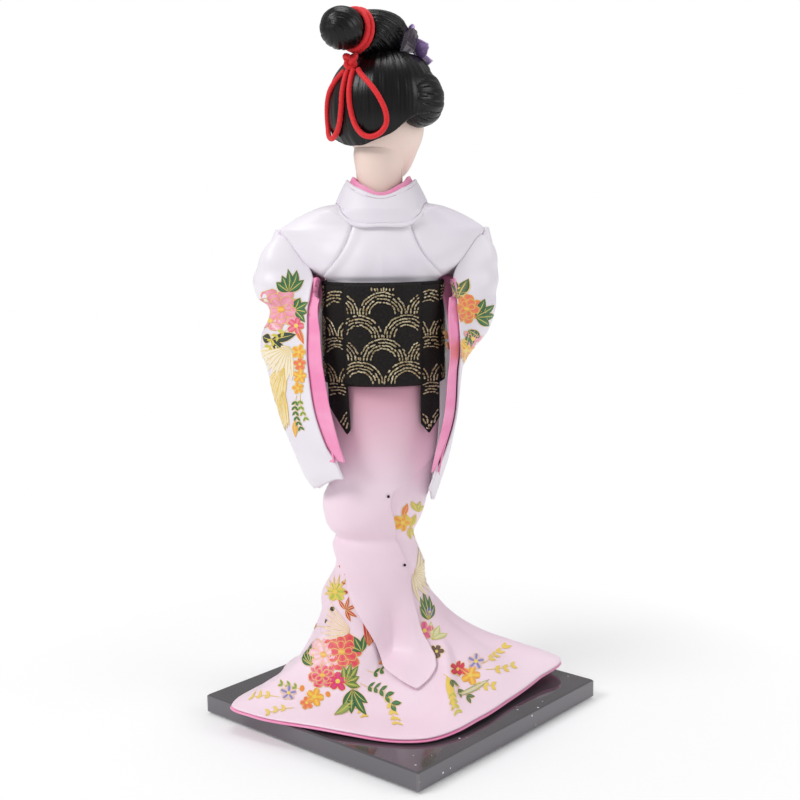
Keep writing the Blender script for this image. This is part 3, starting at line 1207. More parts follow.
def sleeve_point(sleeve, u, v, inset=0.0, show=0.0):
    """deep = sin(pi u) goes from an open edge to the fold and back; the middle line there, plus
    the half thickness along its normal with the sign of cos(pi u), plus the lift of the furi. The
    lining is the same surface with show above nought: on the side next to the body its edge stands
    out INNER_SHOWS times further, and LIP bends it towards the body there."""
    u, v = np.broadcast_arrays(np.asarray(u, float), np.asarray(v, float))
    middle = np.stack([
        points(ARM_REACH * along(sleeve[name][0], v), ARM_FORWARD * along(sleeve[name][1], v), 0)[..., :2]
        for name in ("edge", "elbow", "fore", "fold")
    ], axis=-2)
    length = sum(
        np.linalg.norm(middle[..., b, :] - middle[..., a, :], axis=-1) for a, b in ((0, 1), (1, 3))
    )
    deep, turned = np.sin(math.pi * u), np.cos(math.pi * u)
    reach = mix(-show * (1 + INNER_SHOWS * ease(-turned, 0.3, 1)) / length, 1, deep)
    q = reach - inset / length * ease(reach, INSET_SHARE, 1)
    here = through(middle, q)
    way = unit(through(middle, q + 1e-3) - through(middle, q - 1e-3))
    opened = mix(along(BAG_OPEN, v), 1, ease(q, 0, along(sleeve["open_to"], v)))
    blunt = np.sqrt(np.maximum(1 - deep**FOLD_POWER, 0))
    across = SLEEVE_HALF * along(sleeve["bag"], v) * opened * blunt * np.sign(turned)
    folds = WIDE_FOLD * np.sin(9 * q + 2.2 * v + sleeve["side"]) + FINE_FOLD * np.sin(19 * q - 3.1 * v)
    across = across + folds * ease(v, 0.25, 0.6) * ease(q, 0, 0.25) * (1 - HEM_CALM * ease(v, 0.85, 1))
    creased = BEND_DEEP * np.sin(v * BEND_CREASES + 5 * q) * hump(v, BEND_AT, BEND_HALF)
    creased = creased * ease(q, 0.1, 0.35) * (1 - ease(q, 0.75, 1))
    across = across + creased * np.sign(turned)
    lift = FURI_LIFT * (1 - ease(q, 0, LIFT_SHARE)) * v**LIFT_POWER
    lip = (show > 0) * along(LIP, v) * ease(-turned, 0.3, 1) * ease(-q * length, 0.6, 4.5)
    return points(
        sleeve["side"] * (here[..., 0] + way[..., 1] * across - lip), here[..., 1] - way[..., 0] * across,
        mix(SLEEVE_TOP, sleeve["bottom"], v) + lift,
    )


def sleeve_facing(sleeve, inset=0.0, show=0.0):
    """The same bag with u turned round on the right, so that its normals point alike."""
    if sleeve["side"] > 0:
        return lambda u, v: sleeve_point(sleeve, u, v, inset, show)
    return lambda u, v: sleeve_point(sleeve, 1 - np.asarray(u, float), v, inset, show)


# %% Sleeves and linings
HAND_HIGH, MOUTH_HALF, MOUTH_GROWN = 166.0, np.array([7.5, 8.0, 9.0]), 5.5
MOUTH_ACROSS, MOUTH_FORWARD = 0.32, 1.013
SEAM_CLEAR, LINING_INSET, LINING_SHOWS, LINING_STAND = 0.35, 3.0, 0.8, 0.6
LINING_FROM, LINING_TO = 0.18, 11 / 12
ELBOW_CLEAR_AT, ELBOW_CLEAR = (57.0, -2.0, 186.5), (8.0, 20.0, 6.0)


def bodice_hole(grow):
    """Keeps a sleeve off the bodice: the way out from the axis, over the bodice's reach."""
    def hole(p):
        high = (p[..., 2] > BODICE_LOW) & (p[..., 2] < BODICE_TOP)
        out = np.hypot(p[..., 0], p[..., 1])
        reach = bodice_reach(np.arctan2(p[..., 1], p[..., 0]), p[..., 2]) + grow
        return points(0, 0, p[..., 2]), np.where(high, out / reach, 9)
    return hole


def mouth_hole(sleeve, grow=0.0):
    """The mouth at the top of the front fold, where the hand comes out."""
    at = (sleeve["side"] * ARM_REACH * MOUTH_ACROSS, -ARM_FORWARD * MOUTH_FORWARD, HAND_HIGH)
    return egg_hole(at, MOUTH_HALF + grow)


def lining_point(sleeve):
    """The bag held back from its fold, moved inwards and cut shorter."""
    within = beside(
        sleeve_facing(sleeve, LINING_INSET, LINING_SHOWS), -(CLOTH / 2 + LINING_STAND + LINING / 2), False
    )
    return lambda u, v: within(u, mix(LINING_FROM, LINING_TO, v))


for side_name, sleeve in (("left", LEFT_SLEEVE), ("right", RIGHT_SLEEVE)):
    sheet_of(
        f"sleeve_cloth_{side_name}", sleeve_facing(sleeve), 220, 150, CLOTH, white_satin, "white_satin",
        (f"sleeve_{side_name}",), "hung", ("bodice_cloth",),
        holes=[mouth_hole(sleeve), bodice_hole(CLOTH / 2 + SEAM_CLEAR)],
    )
    sheet_of(
        f"sleeve_lining_cloth_{side_name}", lining_point(sleeve), 180, 100, LINING,
        lining_pink, "lining_pink", (f"sleeve_lining_{side_name}",), "hung", (f"sleeve_cloth_{side_name}",),
        holes=[
            mouth_hole(sleeve, MOUTH_GROWN), bodice_hole(CLOTH / 2 + SEAM_CLEAR),
            egg_hole((sleeve["side"] * ELBOW_CLEAR_AT[0], *ELBOW_CLEAR_AT[1:]), ELBOW_CLEAR),
        ],
    )

# %% [markdown]
# ## Inside the clothes
# Under the cloth the doll is straw and cotton wound on wire. The forms don't show, but they hold
# the cloth up, and they are what a buyer feels through it. Each is a stuffed bag with rounded
# ends, and the hips have a bore for the post that they stand on.

# %% Padded forms and arms
HIP_LOW, HIP_HIGH, HIP_INSET, POST_RADIUS, POST_HIGH = 82.0, 150.0, 1.8, 4.3, 96.4
CHEST_WIDTH, CHEST_DEPTH, BUST_LOW, BUST_HIGH = 24.0, 18.6, 186.0, 215.0
TORSO_WIDTH = [(0, 0.91), (0.523, 0.91), (0.646, 0.93), (0.769, 1.0), (0.862, 0.9), (0.923, 0.62), (1, 0.5)]
TORSO_DEPTH = [
    (0, 0.87), (0.523, 0.86), (0.646, 0.85), (0.769, 0.8), (0.862, 0.66), (0.923, 0.6), (1, 0.56)
]
ARM_ROUTE = [
    (0, 0.52, 0, 0), (0.6, 0.753, 0.013, 0.134), (1, 0.82, 0.067, 0.463), (1, 0.84, 0.227, 0.746),
    (1, 0.72, 0.533, 0.925), (1, 0.57, 0.76, 0.985),
]
SHOULDER, ARM_RADIUS = np.array([26, -0.5, 199.5]), 2.8
LUMPS, OUTSIDE_TO, TURN_FROM, TURN_LONG = 0.006, 0.8, 0.79, 0.05
BORE_FROM, BORE_LONG, CLOSE_FROM, CLOSE_LONG = 0.84, 0.13, 0.97, 0.03


def stuffed(sizes, low, high):
    """A bag whose outline is a table's, rounded at both ends and drawn in by seams of its own."""
    def surface(u, v):
        angle = np.asarray(u, float) * 2 * math.pi
        z = mix(high, low, v)
        rounded = (1 - np.abs(2 * v - 1) ** 12) ** (1 / 6)
        width, depth, lean = sizes(z)
        lumps = 1 - LUMPS * (1 + np.sin(7 * angle + z / 5) * np.sin(z / 3.7))
        return points(
            lean + width * rounded * lumps * np.cos(angle), depth * rounded * lumps * np.sin(angle), z
        )
    return surface


def hip_sizes(z):
    share = z / SKIRT_HIGH
    return (
        HIP_HALF_WIDTH * along(SKIRT_WIDTH, share) - HIP_INSET,
        HIP_HALF_DEPTH * along(SKIRT_DEPTH, share) - HIP_INSET, lean_at(z),
    )


def torso_sizes(z):
    place = (z - HIP_HIGH) / (BUST_HIGH - HIP_HIGH)
    return CHEST_WIDTH * along(TORSO_WIDTH, place), CHEST_DEPTH * along(TORSO_DEPTH, place), 0 * z


def bored_hip(u, v):
    """Outside down to the foot of the bag, then in to the bore, then up it to its closed top."""
    u, v = np.broadcast_arrays(np.asarray(u, float), np.asarray(v, float))
    outside = stuffed(hip_sizes, HIP_LOW, HIP_HIGH)(u, np.clip(v / OUTSIDE_TO, 0, 0.985))
    angle = u * 2 * math.pi
    up_bore = np.clip((v - BORE_FROM) / BORE_LONG, 0, 1)
    closing = 1 - np.clip((v - CLOSE_FROM) / CLOSE_LONG, 0, 1)
    bore = points(
        POST_RADIUS * closing * np.cos(angle), POST_RADIUS * closing * np.sin(angle),
        mix(HIP_LOW + 0.8, POST_HIGH, up_bore),
    )
    return mix(outside, bore, np.clip((v - TURN_FROM) / TURN_LONG, 0, 1)[..., None])


hip_form = closed_form(bored_hip, 72, 100)
torso_form = closed_form(stuffed(torso_sizes, HIP_HIGH + GAP, BUST_LOW - GAP), 72, 60)
for name, form in (("hip", hip_form), ("torso", torso_form)):
    stuffing = into_mesh(f"{name}_padding", "figure", *form)
    piece(stuffing.name, stuffing, "figure", padding, (f"{name}_form",))


def arm_route(side):
    """From the shoulder out and down, then forward to the wrist."""
    left, out, forward, down = np.array(ARM_ROUTE, float).T
    stops = points(
        mix(SHOULDER[0], ARM_REACH * out, left), mix(SHOULDER[1], -ARM_FORWARD, forward),
        mix(SHOULDER[2], HAND_HIGH, down),
    )
    return stops * np.array([side, 1, 1])


def wound(angle, length):
    """Cotton tape wound on wire: a ridge that goes round every two and a half millimetres."""
    return ARM_RADIUS * (0.965 + 0.035 * np.abs(np.cos(angle / 2 - math.pi * length / 2.5)))


for side_name, side in (("left", 1), ("right", -1)):
    vertices, faces, shares, _ = swept(smooth_route(arm_route(side), 110), wound, 24)
    arm = into_mesh(f"arm_padding_{side_name}", "figure", vertices, faces, shares)
    piece(f"arm_padding_{side_name}", arm, "figure", padding, (f"arm_{side_name}",))

# %% [markdown]
# ## The sash
# The sash is a stiff brocade band, with a padded panel across the back and two tails that hang
# beside it. The band is a plain ellipse with a rolled edge; the panel follows it at a stand-off.

# %% Sash surfaces
WAIST_LOW, WAIST_HIGH, BAND_THICK = 143.0, 185.0, 1.6
BAND_HALF = (SHOULDER_HALF * 0.55 + 0.85, BODICE_DEPTH * 0.92 + 0.85)
BAND_GIRTH = [(0, 1.01), (0.167, 1), (0.786, 1), (1, 1.01)]
PANEL_HALF, PANEL_THICK, PANEL_STAND, PANEL_MARGIN = 15.2, 2.4, 0.6, 0.6
TAIL_THICK, TAIL_HIGH, TAIL_LOW, TAIL_STAND, TAIL_FOLD = 0.9, 183.8, 122.5, 1.2, 1.2
TAIL_INNER, TAIL_WIDE = {1: (15.8, 14.6), -1: (15.8, 15.6)}, {1: (7.5, 8.6), -1: (7.5, 7.4)}
TAIL_TIP, TAIL_SLANT = {1: 0.12, -1: 0.42}, {1: 13.0, -1: 10.0}


def band_girth(z):
    return along(BAND_GIRTH, (z - WAIST_LOW) / (WAIST_HIGH - WAIST_LOW))


def band_point(u, v):
    """The band's middle: an ellipse half its thickness out from the bodice's side of it."""
    angle = np.asarray(u, float) * 2 * math.pi
    z = mix(WAIST_HIGH, WAIST_LOW, v)
    girth = band_girth(z)
    out = BAND_THICK * (girth - 0.5)
    return points((BAND_HALF[0] + out) * np.cos(angle), (BAND_HALF[1] + out) * np.sin(angle), z)


def on_band(x, z):
    """How far back the outside of the band is, at a place across it and a height."""
    girth = band_girth(z)
    half_width, half_depth = ((half + BAND_THICK) * girth for half in BAND_HALF)
    return half_depth * np.sqrt(np.maximum(1 - (x / half_width) ** 2, 0))


def sash_panel_point(u, v):
    u, v = np.asarray(u, float), np.asarray(v, float)
    x = mix(PANEL_HALF, -PANEL_HALF, u)
    z = mix(WAIST_HIGH - PANEL_MARGIN, WAIST_LOW + PANEL_MARGIN, v)
    return points(x, on_band(x, z) + PANEL_STAND + PANEL_THICK / 2, z)


def tail_end(side, across):
    """The height of a tail's cut end: a point at the tip's share across, and rising from it."""
    return TAIL_LOW + TAIL_SLANT[side] * np.abs(across - TAIL_TIP[side])


def tail_point(side):
    """A tail with a slanted end, whose middle folds out more the further down it is."""
    def surface(u, v):
        u, v = np.broadcast_arrays(np.asarray(u, float), np.asarray(v, float))
        across = 1 - u if side > 0 else u
        x = mix(*TAIL_INNER[side], ease(v, 0.5, 1)) + across * mix(*TAIL_WIDE[side], v)
        z = mix(TAIL_HIGH, tail_end(side, across), v)
        fold = TAIL_FOLD * np.sin(across * math.pi) * v
        return points(side * x, on_band(x, np.maximum(z, WAIST_LOW)) + TAIL_STAND + fold, z)
    return surface


sheet_of(
    "sash_band_cloth", band_point, 200, 40, BAND_THICK, brocade, "brocade", ("obi_band",), "stretched",
    ("bodice_cloth",), closed=True,
)
sheet_of(
    "sash_panel_cloth", sash_panel_point, 70, 84, PANEL_THICK, brocade, "brocade", ("obi_panel",), "folded",
    ("sash_band_cloth",), roll=0.4,
)
for side_name, side in (("left", 1), ("right", -1)):
    sheet_of(
        f"sash_tail_cloth_{side_name}", tail_point(side), 24, 120, TAIL_THICK, brocade, "brocade",
        (f"obi_tail_{side_name}",), "hung", ("sash_band_cloth",), roll=0.45,
    )

# %% [markdown]
# ## The head
# The head, neck and peg of such a doll are one moulding, and the whole head turns on the peg.
# The face is a plain, calm one: an egg drawn in at the jaw, with small humps for the nose, lips
# and chin and hollows for the eyes. Its features are painted on, so each is a shape on the face
# worked out from its distance to a line, and written as a colour at each corner of the mesh.

# %% Head surface
HEAD_HALF = np.array([15.2, 17.0, 21.0])
JAW_DRAW, CHEEK_DRAW, CHIN_FORWARD, CHIN_DROP, FEATURE_SIZE = 0.2, 0.05, 2.2, 0.12, 1.3
FEATURES = [
    (0, -0.16, 0.12, 0.20, 1.0), (0, -0.27, 0.15, 0.09, 0.75), (0, -0.50, 0.22, 0.055, 0.42),
    (0, -0.595, 0.17, 0.055, 0.36), (0, -0.86, 0.30, 0.16, 0.55), (0.40, 0.05, 0.24, 0.13, -0.30),
    (-0.40, 0.05, 0.24, 0.13, -0.30), (0.50, -0.35, 0.34, 0.26, 0.22), (-0.50, -0.35, 0.34, 0.26, 0.22),
    (0, -0.545, 0.20, 0.016, -0.22), (0.40, 0.03, 0.17, 0.055, 0.16), (-0.40, 0.03, 0.17, 0.055, 0.16),
]
NECK_RADIUS, NECK_SINK, PEG_RADIUS, PEG_LOW = 10.0, 6.5, 5.0, 192.0


def head_point(polar, angle):
    """An egg narrowed below by the jaw and cheeks, plus a sum of bumps, each a bell curve over
    the distance across and up, that fades out away from the front."""
    up, ring = np.cos(polar), np.sin(polar)
    x = HEAD_HALF[0] * ring * np.cos(angle) * (1 - JAW_DRAW * ease(-up, 0.15, 1.1))
    y = HEAD_HALF[1] * ring * np.sin(angle) * (1 - CHEEK_DRAW * ease(-up, 0.1, 0.9))
    front = np.maximum(-np.sin(angle), 0)
    across = x / HEAD_HALF[0]
    feature = sum(
        high * np.exp(-(((across - fx) / sx) ** 2) - ((up - fz) / sz) ** 2)
        for fx, fz, sx, sz, high in FEATURES
    )
    y = y - FEATURE_SIZE * feature * ease(front, 0.15, 0.5) - CHIN_FORWARD * ease(-up, 0.4, 0.9)
    return HEAD_AT + points(x, y, HEAD_HALF[2] * up * (1 + CHIN_DROP * ease(-up, 0.5, 1)))


def head_surface(u, v):
    """Round and down; the columns are set closer together in front, where the face is."""
    turn = np.asarray(u, float) * 2 * math.pi
    return head_point(math.pi * np.asarray(v, float), turn + 0.55 * np.cos(turn))


# %% [markdown]
# The painting is done in head coordinates, with across and up as shares of the head. A line is
# drawn where its distance is under its half width, softened over a short way, as a fine brush
# leaves it.

# %% Paint the face
PAINT = {
    "skin": srgb(242, 219, 208), "blush": srgb(240, 196, 190), "lips": srgb(196, 42, 52),
    "ink": srgb(24, 18, 20), "white": srgb(248, 246, 244), "iris": srgb(54, 34, 26),
    "brow": srgb(70, 54, 52),
}


def brushed(distance, half, soft=0.012):
    """1 inside a half width and 0 outside it, with a soft edge."""
    return 1 - ease(distance, half - soft, half + soft)


def face_paint(p):
    """Skin, then blush, eye whites, irises, lids, brows and lips, one over the other."""
    across, up, front = ((p - HEAD_AT) / HEAD_HALF).T
    side = np.abs(across)
    ahead_share = ease(-front, 0.2, 0.5)
    eye_high = 0.052 * (1 - 0.25 * (side - 0.4) / 0.17)
    eye = np.hypot((side - 0.40) / 0.175, (up - 0.03 - 0.05 * (side - 0.4)) / eye_high)
    lid_arch = np.sqrt(np.maximum(1 - ((side - 0.40) / 0.2) ** 2, 0))
    lid_line = 0.03 + 0.058 * lid_arch + 0.12 * np.maximum(side - 0.5, 0)
    layers = [
        ("blush", 0.45 * np.exp(-(((side - 0.55) / 0.25) ** 2) - ((up + 0.28) / 0.2) ** 2)),
        ("white", brushed(eye, 1.0, 0.1)),
        (
            "iris", brushed(np.hypot((side - 0.40) / 0.07, (up - 0.035) / 0.055), 1.0, 0.12)
            * brushed(eye, 1.0, 0.1)
        ),
        ("ink", brushed(np.hypot(side - 0.40, up - 0.037), 0.028, 0.01)),
        ("white", brushed(np.hypot(side - 0.415, up - 0.052), 0.009, 0.006)),
        ("ink", brushed(np.abs(up - lid_line), 0.011, 0.007) * brushed(np.abs(side - 0.405), 0.195, 0.02)),
        ("brow", 0.8 * brushed(np.abs(up - 0.235 - 0.05 * (1 - ((side - 0.40) / 0.22) ** 2)), 0.014, 0.012)
         * brushed(np.abs(side - 0.40), 0.19, 0.05)),
        ("lips", brushed(np.hypot(side / 0.2, (up + 0.5 + 0.018 * np.cos(side * 22)) / 0.042), 1.0, 0.08)),
        ("lips", brushed(np.hypot(side / 0.165, (up + 0.585) / 0.048), 1.0, 0.08)),
        ("ink", 0.55 * brushed(np.abs(up + 0.545), 0.007, 0.006) * brushed(side, 0.18, 0.03)),
    ]
    colour = np.tile(np.array(PAINT["skin"][:4], float), (len(p), 1))
    for name, share in layers:
        colour = mix(colour, np.array(PAINT[name][:4], float), (share * ahead_share)[:, None])
    return colour


def painted_skin():
    """The moulded head's finish: its paint, a soft skin gloss, and shine on the eyes and lips."""
    material, tree, shader = start_finish("painted_skin", 0.46, Specular_IOR_Level=0.4)
    base = node(tree, "ShaderNodeAttribute", attribute_name="paint").outputs["Color"]
    spot = read_object(tree)
    clouds = level_of(tree, noise_of(tree, spot, 120, 2.0), 0.3, 0.7, 0, 0.06)
    tree.links.new(blend_of(tree, clouds, base, srgb(232, 196, 182)), shader.inputs["Base Color"])
    bright = node(tree, "ShaderNodeRGBToBW", {0: base}).outputs[0]
    tree.links.new(level_of(tree, bright, 0.1, 0.5, 0.2, 0.46), shader.inputs["Roughness"])
    raise_by(tree, shader, noise_of(tree, spot, 2200, 2.0), 0.05, 0.00003)
    return material


def lathe(profile, rows_between, columns):
    """A turned form round an upright axis: a profile of (radius, height) pairs, joined straight."""
    radius, high = np.array(profile, float).T

    def surface(u, v):
        t = np.asarray(v, float) * (len(radius) - 1)
        r, z = np.interp(t, np.arange(len(radius)), radius), np.interp(t, np.arange(len(high)), high)
        angle = np.asarray(u, float) * 2 * math.pi
        return points(r * np.cos(angle), r * np.sin(angle), z)
    return closed_form(surface, columns, rows_between * (len(radius) - 1))


def joined(*forms):
    """Several closed forms as one: their vertices one after the other, and their faces moved on."""
    vertices, faces, shares = [], [], []
    count = 0
    for own_vertices, own_faces, own_shares in forms:
        vertices.append(own_vertices)
        faces += [f + count for f in own_faces]
        shares += own_shares
        count += len(own_vertices)
    return np.concatenate(vertices), faces, shares


NECK_HIGH = HEAD_AT[2] - NECK_SINK
neck_profile = [
    (0, NECK_HIGH), (NECK_RADIUS * 0.6, NECK_HIGH - 0.3), (NECK_RADIUS * 0.88, NECK_HIGH - 1.4),
    (NECK_RADIUS * 1.04, NECK_HIGH - 3.4), (NECK_RADIUS * 1.08, NECK_HIGH - 6),
    (NECK_RADIUS * 1.05, NECK_HIGH - 9), (NECK_RADIUS * 1.0, NECK_HIGH - 12),
    (NECK_RADIUS * 0.97, NECK_HIGH - 15), (NECK_RADIUS * 0.96, mix(BUST_HIGH, NECK_HIGH, 0.3)),
    (NECK_RADIUS * 0.985, BUST_HIGH + 3.0), (NECK_RADIUS, BUST_HIGH + GAP + 0.5),
    (NECK_RADIUS - 0.4, BUST_HIGH + GAP), (PEG_RADIUS, BUST_HIGH + GAP), (PEG_RADIUS, PEG_LOW + 0.4),
    (PEG_RADIUS - 0.4, PEG_LOW), (0, PEG_LOW),
]
head_form = joined(closed_form(head_surface, 300, 240), lathe(neck_profile, 6, 96))
corners = np.concatenate([f.ravel() for f in head_form[1]])
head_mesh = into_mesh("head_moulded", "head", *head_form, paint=face_paint(head_form[0])[corners])
piece("head_moulded", head_mesh, "head", painted_skin(), ("head",))

# %% [markdown]
# ## The hair
# A doll's hair is silk thread combed over a pad and set with wax. Every lock here is a shell
# with long grooves that run with the comb. A groove is a sum of waves across the strands, whose
# phase drifts along them so that none is quite straight. Where a lock meets the head, the face
# or the lock beneath it, the shell ends on that form's surface.

# %% Hair surfaces
SIDE_ROLL = (17.2, HAIR_AT[1] - 3, HAIR_AT[2] + 0.5), (6.9, 11.5, 10.5)
FRONT_ROLL = (0, HAIR_AT[1] - 9, HAIR_AT[2] + 11), (15.5, 8.0, 8.8)
FACE_CLEAR = (0, HEAD_AT[1] - 15.5, HEAD_AT[2] - 3.5), (13.6, 16.0, 22.0)
HAIR_SKIN, HAIR_GAP, SKIN_GAP, HAIRLINE_FROM = 1.0, 0.3, 0.35, 225.0
HAIRLINE = [
    (0, 241.6), (12, 241.7), (25, 242.8), (48, 245.8), (57, 248.2), (66, 251.2), (80, 253.5), (180, 255)
]


def grooves(across, drift, count, seed):
    """Waves across the strands, of three widths; drift moves their phase along the strand."""
    waves = ((count, 1.0, 0.7), (count * 2 + 1, 0.6, -1.1), (count * 5 + 2, 0.35, 1.9))
    total = sum(high * np.sin(k * across + way * drift + seed * k) for k, high, way in waves)
    return total / 1.95


def head_hole(grow):
    """Keeps the hair off the head: looks up how far out the head is in a point's direction, by
    correcting the two angles a few times until they point there."""
    def hole(p):
        way = unit((p - HEAD_AT) / HEAD_HALF)
        want = np.arccos(np.clip(way[..., 2], -1, 1)), np.arctan2(way[..., 1], way[..., 0])
        polar, angle = want
        for _ in range(8):
            got = unit((head_point(polar, angle) - HEAD_AT) / HEAD_HALF)
            polar = np.clip(polar + want[0] - np.arccos(np.clip(got[..., 2], -1, 1)), 0, math.pi)
            off = want[1] - np.arctan2(got[..., 1], got[..., 0])
            angle = angle + np.mod(off + math.pi, 2 * math.pi) - math.pi
        reach = np.linalg.norm(head_point(polar, angle) - HEAD_AT, axis=-1) + grow
        return np.broadcast_to(HEAD_AT, p.shape), np.linalg.norm(p - HEAD_AT, axis=-1) / reach
    return hole


def neck_hole(grow):
    """Keeps the hair off the neck, below the top of it."""
    def hole(p):
        share = np.hypot(p[..., 0], p[..., 1]) / (NECK_RADIUS + grow)
        return points(0, 0, p[..., 2]), np.where(p[..., 2] < NECK_HIGH, share, 9)
    return hole


def egg_surface(at, half, groove, pole="Z"):
    """An egg with its poles up and down, or to the sides; groove is its depth at (u, v)."""
    def surface(u, v):
        u, v = np.broadcast_arrays(np.asarray(u, float), np.asarray(v, float))
        angle, polar = u * 2 * math.pi, v * math.pi
        ring = np.sin(polar)
        way = {
            "Z": points(ring * np.cos(angle), ring * np.sin(angle), np.cos(polar)),
            "X": points(np.cos(polar), ring * np.cos(angle), ring * np.sin(angle)),
            "Y": points(ring * np.sin(angle), np.cos(polar), ring * np.cos(angle)),
        }[pole]
        return np.array(at) + (np.array(half) - groove(u, v)[..., None]) * way
    return surface


def grown(egg, by):
    return egg_hole(egg[0], np.array(egg[1]) + by)


def hairline_hole(p):
    """Ends the back hair at the hairline, a height at each angle from the nape round to the ears:
    what is lower is left out, and the edge is drawn up or down to that height."""
    turn = np.degrees(np.abs(np.arctan2(p[..., 0], p[..., 1] - HAIR_AT[1])))
    x, y, z = p[..., 0], p[..., 1], p[..., 2]
    return points(x, y, HAIRLINE_FROM), (z - HAIRLINE_FROM) / (along(HAIRLINE, turn) - HAIRLINE_FROM)


def hair_lock(name, surface, columns, rows, holes, nodes, flat):
    """A shell of hair, its map as (across the strands, along them) in metres."""
    inner = beside(surface, HAIR_SKIN / 2)
    built = cloth(inner, columns, rows, HAIR_SKIN, closed=True, holes=holes)
    return piece(name, into_mesh(name, "head", *built, flat=flat), "head", hair, nodes)


# %% Back, rolls and front of the hair
def back_groove(u, v):
    """Locks that run up from the nape to the knot, and flatten out towards the poles."""
    return 0.22 * grooves(u * 2 * math.pi, 3 * v, 17, 0.4) * np.sin(math.pi * v) ** 0.5


def back_hair(u, v):
    """The egg of the back hair, with the fuller rings of hair_share in its lower half."""
    u, v = np.broadcast_arrays(np.asarray(u, float), np.asarray(v, float))
    angle, k = u * 2 * math.pi, np.cos(v * math.pi)
    ring = np.where(k < 0, hair_share(k), np.sin(v * math.pi))
    way = points(ring * np.cos(angle), ring * np.sin(angle), k)
    return HAIR_AT + (HAIR_HALF - back_groove(u, v)[..., None]) * way


def roll_groove(seed, count):
    return lambda u, v: 0.3 * grooves(u * 2 * math.pi, 5 * v, count, seed) * np.sin(math.pi * v) ** 0.7


skin_holes = [head_hole(SKIN_GAP), neck_hole(SKIN_GAP), egg_hole(*FACE_CLEAR)]
side_holes = {side: ((side * SIDE_ROLL[0][0], *SIDE_ROLL[0][1:]), SIDE_ROLL[1]) for side in (1, -1)}
hair_lock(
    "hair_back_locks", back_hair, 300, 150,
    [
        *skin_holes, hairline_hole, grown(FRONT_ROLL, HAIR_GAP), grown(side_holes[1], HAIR_GAP),
        grown(side_holes[-1], HAIR_GAP)
    ],
    ("hair_back",), (0.14, 0.066),
)
for side_name, side in (("left", 1), ("right", -1)):
    hair_lock(
        f"hair_side_{side_name}_roll", egg_surface(*side_holes[side], roll_groove(1.3 * side, 9), "Y"),
        160, 80, skin_holes, (f"hair_side_{side_name}",), (0.05, 0.035),
    )
hair_lock(
    "hair_front_roll", egg_surface(*FRONT_ROLL, roll_groove(0.7, 8), "X"), 160, 110,
    [*skin_holes, grown(side_holes[1], HAIR_GAP), grown(side_holes[-1], HAIR_GAP)], ("hair_front",),
    (0.05, 0.045),
)

# %% [markdown]
# The top knot is one tail of hair that is folded forward into the mound, tied at its waist, and
# rolled into the bun behind. Both are turned forms on one axis from front to back, and their
# strands wind round the axis as they run along it.

# %% Mound and bun
MOUND = [
    (0, -2.6), (0.38, -2.52), (0.7, -2.3), (0.9, -1.92), (0.99, -1.34), (0.96, -0.74), (0.84, -0.38),
    (0.665, -0.29), (0.665, 0), (0, 0),
]
BUN = [
    (0, 0), (0.665, 0), (0.665, 0.28), (0.8, 0.4), (0.87, 0.74), (0.85, 1.06), (0.7, 1.4), (0.4, 1.62),
    (0, 1.7),
]
TOP_FLAT = 0.16


def on_knot_axis(profile, start, groove, twist, count, seed):
    """A turned form: radius and length through the profile's pairs, less the groove."""
    radius, length = (np.array(profile, float) * MOUND_RADIUS).T
    stations = np.concatenate([[0], np.cumsum(np.hypot(np.diff(radius), np.diff(length)))])
    stations /= stations[-1]
    radius_at, length_at = np.column_stack([stations, radius]), np.column_stack([stations, length])

    def surface(u, v):
        u, v = np.broadcast_arrays(np.asarray(u, float), np.asarray(v, float))
        turn = u * 2 * math.pi
        r = np.maximum(along(radius_at, v), 0)
        cut_in = groove * grooves(turn + twist * v, 3 * v, count, seed) * np.minimum(r / 5, 1)
        r = np.maximum(r - cut_in - groove, 0) * np.where((v <= 0) | (v >= 1), 0, 1)
        rise = r * np.sin(turn) * (1 - TOP_FLAT * (profile is MOUND) * (np.sin(turn) > 0))
        return points(r * np.cos(turn), start + along(length_at, v), KNOT_HIGH + rise)
    return surface


hair_lock(
    "hair_mound_form", on_knot_axis(MOUND, WAIST_BACK, 0.25, 2.5, 11, 0.9), 220, 110,
    [grown((HAIR_AT, HAIR_HALF), HAIR_GAP), grown(FRONT_ROLL, HAIR_GAP)], ("hair_mound",), (0.065, 0.05),
)
bun_form = closed_form(on_knot_axis(BUN, WAIST_BACK + GAP, 0.22, 4.0, 9, 2.2), 200, 110)
piece(
    "hair_bun_form", into_mesh("hair_bun_form", "head", *bun_form, flat=(0.058, 0.04)), "head", hair,
    ("hair_bun",),
)

# %% [markdown]
# ## The flower and the ribbon
# A small violet silk flower is pinned beside the mound. Each petal is a cupped leaf of cloth
# whose half width is a power of a sine along it; five stand round a ball. Behind it a strip of
# dark sheer ribbon stands up in a bow's half.

# %% Flower
FLOWER_AT = np.array([-6, HAIR_AT[1] - 11.9, KNOT_HIGH - 5.3])
PETALS, PETAL_LENGTH, PETAL_HALF, PETAL_START, PETAL_CUP, PETAL_TWIST = 5, 8.0, 4.2, 1.7, 1.8, 0.7
PETAL_THICK, PETAL_RISE, CORE = 0.5, math.radians(14), 1.3
FLOWER_TILT, FLOWER_FACING = math.radians(58), math.radians(142)


def turn_matrix(axis, angle):
    return np.array(Matrix.Rotation(angle, 3, axis))


TO_FLOWER = turn_matrix("Z", FLOWER_FACING) @ turn_matrix("X", -FLOWER_TILT)


